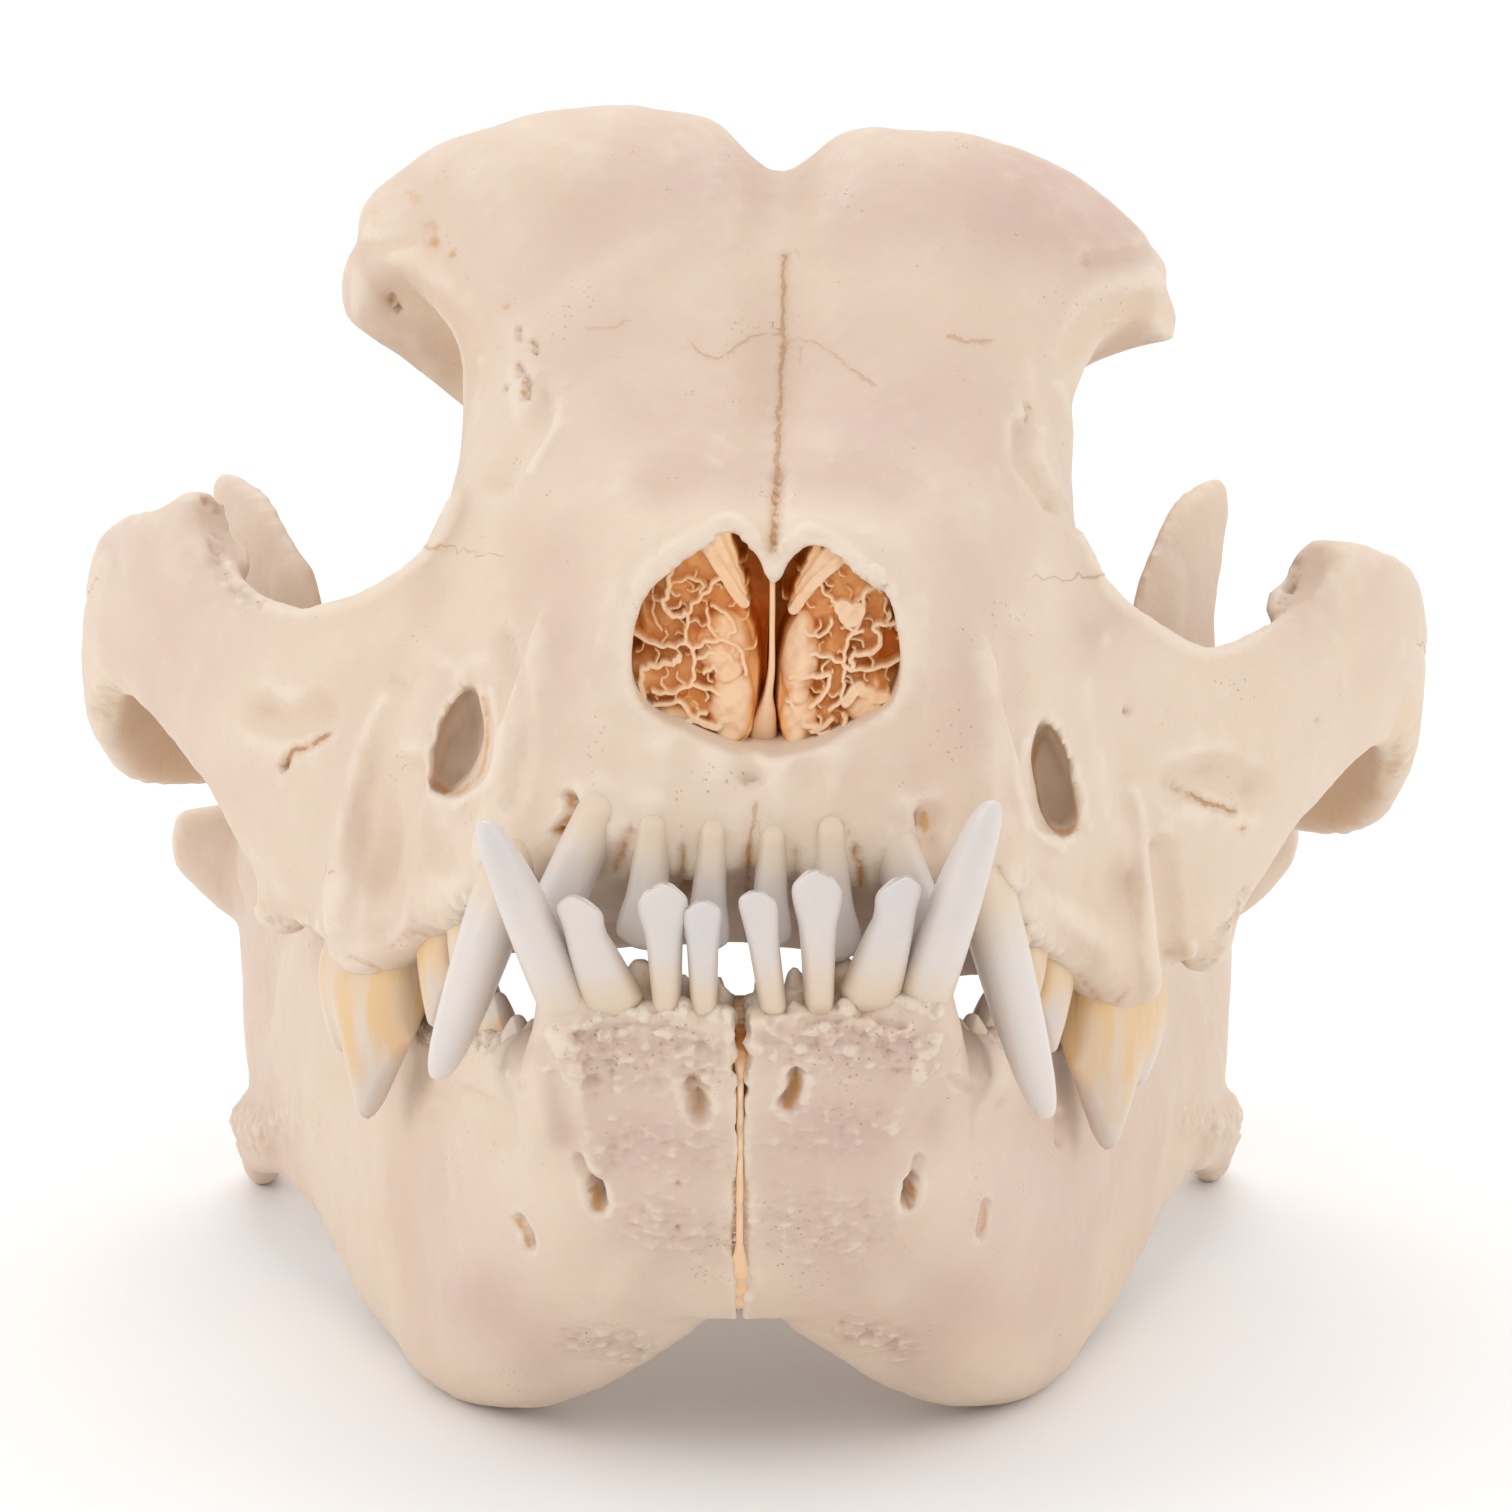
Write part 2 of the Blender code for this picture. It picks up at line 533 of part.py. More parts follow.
def cranium():
    """The fused cranium with its openings and teeth, before it is parted."""
    made = cranium_blockout()
    fuse(made, CRANIUM_VOXEL)
    soften(made, 5)
    cutters = bmesh.new()
    for side in (1, -1):
        blob(cutters, (side * 45.5, 68.0, 90.0), (15.0, 16.0, 12.0))
    limb(cutters, ((0.0, 66.0, 49.0, 6.0, 3.5), (0.0, 76.0, 46.5, 8.0, 5.5), (0.0, 92.0, 44.5, 8.5, 5.5),
                   (0.0, 108.0, 42.5, 9.0, 6.0)))
    blob(cutters, (0.0, 178.0, 62.0), (8.5, 14.0, 7.5))
    combine(made, new_object("Cutters", cutters), "DIFFERENCE", "MANIFOLD")
    fuse(made, CRANIUM_VOXEL)
    soften(made, 2)
    thin_out(made, CRANIUM_TRIANGLES)
    for side in (1, -1):
        canal = bmesh.new()
        limb(canal, mirrored(CANAL, side), segments=10)
        combine(made, new_object("Canal", canal), "DIFFERENCE")
    combine(made, nose_space("Nose space"), "DIFFERENCE")
    join_pieces(made, [tooth(row, side) for row in UPPER_TEETH for side in (1, -1)])
    return largest_shell(made)


def tooth(row, side):
    """One tooth, from inside the bone to its tip."""
    kind, neck, tip, length, width, turn = row
    segments = 8 if kind in ("canine", "incisor") else 6
    neck = Vector((side * neck[0], *neck[1:]))
    tip = Vector((side * tip[0], *tip[1:]))
    angle = side * math.radians(turn)
    along = Vector((math.cos(angle), math.sin(angle), 0.0))
    across = Vector((-math.sin(angle), math.cos(angle), 0.0))
    rings = []
    for share, long_part, wide_part in TOOTH_PROFILES[kind]:
        centre = neck.lerp(tip, share)
        if kind == "canine":
            centre.y += CANINE_BEND * share * (share - 1.0) * (1.0 if tip.z < neck.z else -0.4)
        rings.append(ring_at(centre, along, across, 0.5 * length * long_part, 0.5 * width * wide_part,
                             segments))
    bm = bmesh.new()
    loft(bm, rings)
    return new_object("Tooth", bm)


def jaw_blockout(side):
    """The closed shapes of one half of the lower jaw before they are fused."""
    bm = bmesh.new()
    rings = []
    for y, inner, outer, low, high in catmull(JAW_SECTIONS, 3):
        square = 0.92 - 0.22 * min(1.0, max(0.0, (y - 15.0) / 40.0))
        rings.append([Vector((side * (0.5 * (inner + outer)
                                      + 0.5 * (outer - inner) * rounded(math.cos(turn), square)),
                              y, 0.5 * (low + high) + 0.5 * (high - low) * rounded(math.sin(turn), 0.8)))
                      for turn in (2 * math.pi * k / 32 for k in range(32))])
    loft(bm, rings)
    rings = []
    for z, outer, front, back in catmull(CHIN, 2):
        rings.append([Vector((side * outer * rounded(math.cos(turn), 0.8), 0.5 * (front + back)
                              + 0.5 * (back - front) * rounded(math.sin(turn), 0.8), z))
                      for turn in (2 * math.pi * k / 32 for k in range(32))])
    loft(bm, rings)
    rings = []
    for z, x, y, half_length, half_thick, turn in catmull(BLADE, 3):
        angle = math.radians(turn)
        along = Vector((side * math.sin(angle), math.cos(angle), 0.0))
        across = Vector((side * math.cos(angle), -math.sin(angle), 0.0))
        rings.append(ring_at(Vector((side * x, y, z)), along, across, half_length, half_thick))
    loft(bm, rings)
    band(bm, mirrored(CONDYLE, side))
    band(bm, mirrored(ANGLE, side))
    return new_object("Jaw", bm)


def trimmed(made, point, normal):
    """Cut a closed mesh along a plane, dropping the side that the normal points to."""
    bm = bmesh.new()
    bm.from_mesh(made.data)
    everything = bm.verts[:] + bm.edges[:] + bm.faces[:]
    cut = bmesh.ops.bisect_plane(bm, geom=everything, dist=0.0001, plane_co=point, plane_no=normal,
                                 clear_outer=True)
    edges = [item for item in cut["geom_cut"] if isinstance(item, bmesh.types.BMEdge)]
    caps = bmesh.ops.holes_fill(bm, edges=edges, sides=0)["faces"]
    bmesh.ops.triangulate(bm, faces=caps)
    bm.to_mesh(made.data)
    bm.free()
    made.data.update()
    return made


def jaw(side):
    """One half of the lower jaw with its teeth."""
    made = jaw_blockout(side)
    fuse(made, JAW_VOXEL)
    soften(made, 4)
    thin_out(made, JAW_TRIANGLES)
    trimmed(made, (side * 0.5 * SYMPHYSIS_GAP, 0.0, 0.0), (-side, 0.0, 0.0))
    trimmed(made, (0.0, 0.0, 0.0), (0.0, 0.0, -1.0))
    join_pieces(made, [tooth(row, side) for row in LOWER_TEETH])
    return largest_shell(made)


def brow_asymmetry(made):
    """Make the dome on the picture's right a little lower and narrower, as on this skull."""
    places, _ = coordinates(made.data)
    share = np.clip((places[:, 2] - 105.0) / 10.0, 0.0, 1.0) * np.clip(places[:, 0] / 12.0, 0.0, 1.0)
    places[:, 2] -= RIGHT_DOME_DROP * share
    outer = np.clip((places[:, 0] - 12.0) / 15.0, 0.0, 1.0) * share
    places[:, 0] *= 1.0 - (1.0 - RIGHT_DOME_SHARE) * outer
    made.data.vertices.foreach_set("co", places.ravel())
    made.data.update()


def turbinates(side):
    """The scrolled bones that fill one half of the nose, grooved between their folds."""
    made = nose_space("Turbinates", TURBINATE_GAP)
    keep = bmesh.new()
    matrix = Matrix.Translation((side * (SEPTUM_CLEAR + 15.0), 60.0 + TURBINATE_FRONT, 85.0))
    bmesh.ops.create_cube(keep, size=1.0, matrix=matrix @ Matrix.Diagonal((30.0, 120.0, 60.0, 1.0)))
    combine(made, new_object("Half", keep), "INTERSECT")
    grooves = []
    for height, lean in ((79.0, 8.0), (82.6, -6.0), (86.4, 10.0), (90.2, -4.0)):
        groove = bmesh.new()
        matrix = (Matrix.Translation((side * 7.0, TURBINATE_FRONT, height))
                  @ Matrix.Rotation(side * math.radians(lean), 4, "Y")
                  @ Matrix.Diagonal((8.6, 7.0, 0.9, 1.0)))
        bmesh.ops.create_cube(groove, size=1.0, matrix=matrix)
        grooves.append(new_object("Groove", groove))
    for groove in grooves:
        combine(made, groove, "DIFFERENCE")
    return largest_shell(made)


def septum():
    """The thin wall between the two halves of the nose."""
    made = nose_space("Septum", TURBINATE_GAP)
    keep = bmesh.new()
    matrix = Matrix.Translation((0.0, 60.0 + TURBINATE_FRONT - 1.5, 85.0))
    bmesh.ops.create_cube(keep, size=1.0, matrix=matrix @ Matrix.Diagonal((SEPTUM_THICK, 120.0, 60.0, 1.0)))
    combine(made, new_object("Wall", keep), "INTERSECT")
    return largest_shell(made)


def part_cranium(made):
    """Part the cranium with thin cuts into the pieces that a person would name."""
    cuts = [slab("Cut", *FACE_CUT), slab("Cut", *BACK_CUT)]
    for side in (1, -1):
        for centre, normal, width, height in (CHEEK_CUT, TEMPLE_CUT):
            cuts.append(slab("Cut", (side * centre[0], *centre[1:]), (side * normal[0], *normal[1:]),
                             width, height))
    for cut in cuts:
        combine(made, cut, "DIFFERENCE")
    nodes = {}
    for bm in shells(made)[:5]:
        piece = new_object("Piece", bm)
        places, _ = coordinates(piece.data)
        middle = 0.5 * (places.min(axis=0) + places.max(axis=0))
        if abs(middle[0]) > 30.0:
            name = "zygomatic_arch_left" if middle[0] > 0.0 else "zygomatic_arch_right"
        elif places[:, 2].max() < 110.0 and places[:, 1].max() < 100.0:
            name = "upper_jaw"
        elif places[:, 1].max() > 150.0:
            name = "braincase"
        else:
            name = "forehead"
        nodes[name] = piece
    bpy.data.objects.remove(made)
    return nodes


def place(made, matrix):
    """Turn and shift a mesh."""
    made.data.transform(matrix)
    made.data.update()


def material(name, colour, roughness):
    """A plain material with the part's colour."""
    made = bpy.data.materials.new(name)
    made.use_nodes = True
    shader = made.node_tree.nodes["Principled BSDF"]
    shader.inputs["Base Color"].default_value = (*colour, 1.0)
    shader.inputs["Roughness"].default_value = roughness
    shader.inputs["Metallic"].default_value = 0.0
    return made


def finish(made, name, colour, roughness=0.6):
    """Give a node its name, its material and its size in metres."""
    made.name = name
    made.data.name = name
    made.data.transform(Matrix.Translation((0.0, -MIDDLE_Y * MM, 0.0)) @ Matrix.Scale(MM, 4))
    made.data.materials.clear()
    made.data.materials.append(material(name, colour, roughness))
    made.data.shade_smooth()
    made.data.set_sharp_from_angle(angle=math.radians(40.0))
    return made


def build():
    """Build every node."""
    for old in list(bpy.data.objects):
        bpy.data.objects.remove(old)
    whole = cranium()
    nodes = part_cranium(whole)
    nodes["turbinates_left"] = turbinates(1)
    nodes["turbinates_right"] = turbinates(-1)
    nodes["nasal_septum"] = septum()
    roll = (Matrix.Translation((0.0, 0.0, ROLL_HEIGHT)) @ Matrix.Rotation(CRANIUM_ROLL, 4, "Y")
            @ Matrix.Translation((0.0, 0.0, -ROLL_HEIGHT)))
    for name, node in nodes.items():
        brow_asymmetry(node)
        place(node, roll)
        inner = name.startswith(("turbinates", "nasal"))
        finish(node, name, TURBINATE if inner else BONE)
    yaw = (Matrix.Translation((JAW_SHIFT, YAW_PIVOT, 0.0)) @ Matrix.Rotation(JAW_YAW, 4, "Z")
           @ Matrix.Translation((0.0, -YAW_PIVOT, 0.0)))
    for side, name in ((1, "lower_jaw_left"), (-1, "lower_jaw_right")):
        half = jaw(side)
        place(half, yaw)
        finish(half, name, BONE)


build()
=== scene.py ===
"""A dog's skull, short-faced, with both halves of the lower jaw, life size, as a museum shows it.

The bones are modelled in millimetres in the pose of the photograph: the picture's right is +X,
the face looks towards -Y and the table is at Z = 0. Each finished piece is written in metres in
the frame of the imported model. The cranium is one surface, each half of the lower jaw another,
and the teeth, the scrolled bones of the nose and the wall between them are pieces of their own.
"""
from __future__ import annotations

import logging
import math
from dataclasses import dataclass, field
from enum import Enum

import bmesh
import bpy
import numpy as np
from mathutils import Matrix, Vector


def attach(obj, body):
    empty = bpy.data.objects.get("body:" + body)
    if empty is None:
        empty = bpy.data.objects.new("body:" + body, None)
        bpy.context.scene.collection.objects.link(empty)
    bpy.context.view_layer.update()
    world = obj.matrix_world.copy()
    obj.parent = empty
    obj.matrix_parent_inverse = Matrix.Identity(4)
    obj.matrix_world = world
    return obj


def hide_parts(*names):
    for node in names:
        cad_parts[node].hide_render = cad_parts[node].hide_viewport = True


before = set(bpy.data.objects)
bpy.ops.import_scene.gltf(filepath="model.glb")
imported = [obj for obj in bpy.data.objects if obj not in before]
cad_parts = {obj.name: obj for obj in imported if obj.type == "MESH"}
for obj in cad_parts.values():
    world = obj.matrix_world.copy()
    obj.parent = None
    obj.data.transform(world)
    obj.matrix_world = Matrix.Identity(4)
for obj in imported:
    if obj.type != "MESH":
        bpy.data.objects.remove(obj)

log = logging.getLogger("dog_skull")

MM = 0.001
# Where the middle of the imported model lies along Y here.
MIDDLE_Y = 88.3
# The plane waves in the noise, and about how far their sum reaches.
WAVE_COUNT = 14
WAVE_REACH = 3.7

Row = tuple[float, ...]
Rows = tuple[Row, ...]
Path = tuple[tuple[float, float], ...]


class Slot(Enum):
    """The record's material slots."""

    BONE = "bone"
    NOSE_BONE = "nose_bone"


class Side(Enum):
    """A side of the skull, as the sign of X: the animal's left is the picture's right."""

    LEFT = 1
    RIGHT = -1


class ToothKind(Enum):
    """How a tooth's crown is shaped."""

    CANINE = "canine"
    INCISOR = "incisor"
    BLADE = "blade"
    GRINDER = "grinder"


# Curves and rings.

def catmull(points: Rows | list[Row], steps: int) -> np.ndarray:
    """A smooth curve through rows of numbers.

    Args:
        points: The rows that the curve passes through.
        steps: How many rows it gives between each two of them.

    Returns:
        The curve's rows.
    """
    rows = np.array(points, dtype=float)
    padded = np.vstack([2 * rows[0] - rows[1], rows, 2 * rows[-1] - rows[-2]])
    result = []
    for index in range(1, len(padded) - 2):
        before, start, end, after = padded[index - 1:index + 3]
        for step in range(steps):
            t = step / steps
            result.append(0.5 * (2 * start + (end - before) * t
                                 + (2 * before - 5 * start + 4 * end - after) * t * t
                                 + (3 * start - before - 3 * end + after) * t ** 3))
    result.append(rows[-1])
    return np.array(result)


def rounded(value: float, power: float) -> float:
    """A cosine or sine raised to a power with its sign kept, which squares an ellipse below 1."""
    return math.copysign(abs(value) ** power, value)


def smooth(value: np.ndarray) -> np.ndarray:
    """A smooth step from 0 to 1 over values from 0 to 1."""
    share = np.clip(value, 0.0, 1.0)
    return share * share * (3.0 - 2.0 * share)


def held(value: float) -> float:
    """A value kept between 0 and 1."""
    return max(0.0, min(1.0, value))


def around(count: int) -> list[float]:
    """Even turns of a full circle."""
    return [2 * math.pi * k / count for k in range(count)]


def waves(places: np.ndarray, size: float, seed: int) -> np.ndarray:
    """Smooth, even noise made of plane waves in many directions.

    Args:
        places: Points, one to a row, in millimetres.
        size: The size of the bumps in millimetres.
        seed: Which pattern of waves it is.

    Returns:
        A value of about -1 to 1 for each point.
    """
    chance = np.random.default_rng(seed)
    total = np.zeros(len(places))
    for _ in range(WAVE_COUNT):
        direction = chance.normal(size=3)
        direction *= chance.uniform(0.7, 1.5) * 2.0 * math.pi / (size * np.linalg.norm(direction))
        total += np.sin(places @ direction + chance.uniform(0.0, 2.0 * math.pi))
    return total / WAVE_REACH


def add_object(name: str, data: bpy.types.ID) -> bpy.types.Object:
    """Put a new object with this data into the scene."""
    made = bpy.data.objects.new(name, data)
    bpy.context.scene.collection.objects.link(made)
    return made


class Clay:
    """A bmesh that closed shapes are added to before they are fused into one skin."""

    def __init__(self) -> None:
        """Start with nothing."""
        self.bm = bmesh.new()

    def loft(self, rings: list[list[Vector]]) -> None:
        """Add a closed skin over rings of points, extruded from ring to ring and capped.

        Args:
            rings: The rings, each with the same number of points.
        """
        count = len(rings[0])
        ring = list(bmesh.ops.create_circle(self.bm, cap_ends=True, segments=count, radius=1.0)["verts"])
        for vert, point in zip(ring, rings[0]):
            vert.co = point
        for points in rings[1:]:
            edges = [self.bm.edges.get((ring[k], ring[(k + 1) % count])) for k in range(count)]
            made = bmesh.ops.extrude_edge_only(self.bm, edges=edges)["geom"]
            fresh = {item for item in made if isinstance(item, bmesh.types.BMVert)}
            ring = [next(edge.other_vert(vert) for edge in vert.link_edges
                         if edge.other_vert(vert) in fresh) for vert in ring]
            for vert, point in zip(ring, points):
                vert.co = point
        bmesh.ops.contextual_create(self.bm, geom=[self.bm.edges.get((ring[k], ring[(k + 1) % count]))
                                                   for k in range(count)])

    @staticmethod
    def ring(centre: Vector, across: Vector, up: Vector, half_across: float, half_up: float,
             segments: int = 24) -> list[Vector]:
        """An ellipse of points round a centre.

        Args:
            centre: The middle.
            across: The unit vector of the first axis.
            up: The unit vector of the second axis.
            half_across: Half the width on the first axis.
            half_up: Half the width on the second axis.
            segments: How many points there are.

        Returns:
            The points.
        """
        return [centre + across * (half_across * math.cos(turn)) + up * (half_up * math.sin(turn))
                for turn in around(segments)]

    def limb(self, stations: Rows | list[Row], steps: int = 5, segments: int = 24,
             upright: bool = True) -> None:
        """Add a limb of elliptic sections along a smooth path.

        Args:
            stations: Rows of x, y, z, half the width and half the height.
            steps: Rings between two stations.
            segments: Points in a ring.
            upright: Whether the height is measured along Z, and not along Y.
        """
        rows = catmull(stations, steps)
        centres = [Vector(row[:3]) for row in rows]
        rings = []
        for index, row in enumerate(rows):
            ahead = centres[min(index + 1, len(rows) - 1)] - centres[max(index - 1, 0)]
            ahead.normalize()
            reference = Vector((0.0, 0.0, 1.0)) if upright else Vector((0.0, 1.0, 0.0))
            across = ahead.cross(reference).normalized()
            rings.append(self.ring(centres[index], across, across.cross(ahead).normalized(), row[3],
                                   row[4], segments))
        self.loft(rings)

    def band(self, stations: Rows | list[Row], steps: int = 5, segments: int = 24,
             power: float = 0.9) -> None:
        """Add a limb whose sections stand upright between a lower and an upper edge.

        Args:
            stations: Rows of x, y, the lower edge, the upper edge and half the thickness.
            steps: Rings between two stations.
            segments: Points in a ring.
            power: How square the sections are, 1 for an ellipse.
        """
        rows = catmull(stations, steps)
        rings = []
        for index, row in enumerate(rows):
            ahead = rows[min(index + 1, len(rows) - 1)][:2] - rows[max(index - 1, 0)][:2]
            across = Vector((*ahead, 0.0)).normalized().cross(Vector((0.0, 0.0, 1.0)))
            centre = Vector((row[0], row[1], 0.5 * (row[2] + row[3])))
            half = 0.5 * (row[3] - row[2])
            rings.append([centre + across * (row[4] * rounded(math.cos(turn), power))
                          + Vector((0.0, 0.0, half * rounded(math.sin(turn), power)))
                          for turn in around(segments)])
        self.loft(rings)

    def blob(self, centre: Row, radii: Row, turn: Row = (0.0, 0.0, 0.0)) -> None:
        """Add a rounded lump.

        Args:
            centre: Its middle.
            radii: Its three half widths.
            turn: Its turn about X, Y and Z in degrees.
        """
        matrix = Matrix.Translation(centre)
        for angle, axis in zip(turn, "XYZ"):
            matrix = matrix @ Matrix.Rotation(math.radians(angle), 4, axis)
        bmesh.ops.create_icosphere(self.bm, subdivisions=4, radius=1.0,
                                   matrix=matrix @ Matrix.Diagonal((*radii, 1.0)))

    def piece(self, name: str) -> bpy.types.Object:
        """Make an object of the shapes, with their faces outwards.

        Args:
            name: The object's name.

        Returns:
            The object.
        """
        bmesh.ops.recalc_face_normals(self.bm, faces=self.bm.faces[:])
        mesh = bpy.data.meshes.new(name)
        self.bm.to_mesh(mesh)
        self.bm.free()
        return add_object(name, mesh)


def beside(place: Row, side: Side) -> Row:
    """The same place on a side of the skull."""
    return (side.value * place[0], *place[1:])


def mirrored(stations: Rows, side: Side) -> list[Row]:
    """The same stations on a side of the skull."""
    return [beside(row, side) for row in stations]


# The view from the front, in which the marks on the bone are placed.

@dataclass(frozen=True)
class FrontView:
    """The camera of the photograph, and where a point of the skull lies in its picture."""

    elevation: float = math.radians(13.0)
    target: Row = (0, 60, 64.1)
    distance: float = 750.0
    focal: float = 7517.0
    side: float = 1512.0
    # The picture's units to a millimetre of the skull.
    per_mm: float = 10.0

    def pixels(self, places: np.ndarray) -> np.ndarray:
        """Where points lie in the picture, counted from its top left corner.

        Args:
            places: The points in millimetres, one to a row.

        Returns:
            Their x and y in the picture.
        """
        cos, sin = math.cos(self.elevation), math.sin(self.elevation)
        ahead = places[:, 1] - self.target[1]
        above = places[:, 2] - self.target[2]
        away = self.distance + ahead * cos - above * sin
        middle = 0.5 * self.side
        return np.stack([middle + self.focal * places[:, 0] / away,
                         middle - self.focal * (ahead * sin + above * cos) / away], axis=1)

    def facing(self, normals: np.ndarray) -> np.ndarray:
        """How much each normal looks at the camera, from 0 to 1."""
        looking = np.array((0.0, -math.cos(self.elevation), math.sin(self.elevation)))
        return smooth((normals @ looking) * 2.5)

    def camera(self) -> bpy.types.Object:
        """Place the camera and make it the scene's.

        Returns:
            The camera's object.
        """
        data = bpy.data.cameras.new("Camera")
        data.sensor_width = 36.0
        data.lens = self.focal / self.side * data.sensor_width
        data.clip_start = 0.05
        made = add_object("Camera", data)
        back = Vector((0.0, -math.cos(self.elevation), math.sin(self.elevation))) * self.distance
        made.location = (Vector(self.target) + back - Vector((0.0, MIDDLE_Y, 0.0))) * MM
        made.rotation_euler = (0.5 * math.pi - self.elevation, 0.0, 0.0)
        bpy.context.scene.camera = made
        return made


VIEW = FrontView()


@dataclass(frozen=True)
class Mark:
    """A line or spot on the bone, placed as it is seen from the front or in space.

    A path of x and y and its radius are in the picture's units, about ten to a millimetre, and
    only bone between near and far along Y takes it. A path of x, y and z and its radius are in
    millimetres, before the bone is posed. The depth is in millimetres, outwards where positive.
    The stain, the pink or yellow shift (pink above 0, yellow below), which is mostly painted shade and
    partly the bone's own tint, and the roughness are from 0 to 1.
    """

    path: Rows
    radius: float
    depth: float = 0.0
    stain: float = 0.0
    # Pink above 0, yellow below: mostly painted shade on tops, undersides and in hollows, partly the bone's
    # own tint.
    tone: float = 0.0
    rough: float = 0.0
    near: float = -10.0
    far: float = 62.0


def seen(far: float, *rows: tuple, near: float = -10.0) -> tuple[Mark, ...]:
    """Marks placed as they are seen in the picture.

    Args:
        far: Only bone before this place along Y takes them.
        rows: For each its path of x and y in turn, then its radius, depth, stain, tone and
            roughness, as far as they aren't 0.
        near: Only bone behind this place along Y takes them.

    Returns:
        The marks.
    """
    return tuple(Mark(tuple(zip(path[::2], path[1::2])), *values, near=near, far=far)
                 for path, *values in rows)


def middle(*rows: tuple, sides: Row = (1,)) -> tuple[Mark, ...]:
    """Marks in space, in the same kind of rows with a path of x, y and z, on these sides."""
    return tuple(Mark(tuple((side * x, y, z) for x, y, z in zip(path[::3], path[1::3], path[2::3])),
                      *values) for path, *values in rows for side in sides)


def both(*rows: tuple) -> tuple[Mark, ...]:
    """Marks in space and the same on the other side."""
    return middle(*rows, sides=(1, -1))


def nearest_on(path: Rows | np.ndarray, spots: np.ndarray, normals: np.ndarray | None = None
               ) -> tuple[np.ndarray, np.ndarray, np.ndarray]:
    """Measure from points to a path in the picture or in space.

    Args:
        path: Its points, joined by a curve where they are three to fifteen; one alone is a spot.
        spots: The points to measure from.
        normals: The surface's normals at the points, for a path in space.

    Returns:
        The distance, the same with a sign for the side of the path, and whether the nearest
        place is past the path's ends.
    """
    track = catmull(path, 6) if 2 < len(path) < 16 else np.array(path, dtype=float)
    best = np.full(len(spots), np.inf)
    signed = np.zeros(len(spots))
    beyond = np.zeros(len(spots))
    if len(track) == 1:
        best = np.linalg.norm(spots - track[0], axis=1)
        return best, best, beyond
    for index, (first, second) in enumerate(zip(track[:-1], track[1:])):
        along = second - first
        raw = ((spots - first) @ along) / (along @ along)
        share = np.clip(raw, 0.0, 1.0)
        offset = spots - (first + share[:, None] * along)
        gap = np.linalg.norm(offset, axis=1)
        closer = gap < best
        best[closer] = gap[closer]
        if normals is None:
            turn = np.sign(along[0] * offset[:, 1] - along[1] * offset[:, 0])
        else:
            turn = np.sign(np.sum(np.cross(along, offset) * normals, axis=1))
        signed[closer] = (gap * turn)[closer]
        past = ((raw > 1.0) & (index == len(track) - 2)) | ((raw < 0.0) & (index == 0))
        beyond[closer] = past[closer]
    return best, signed, beyond


# A surface that is sculpted.

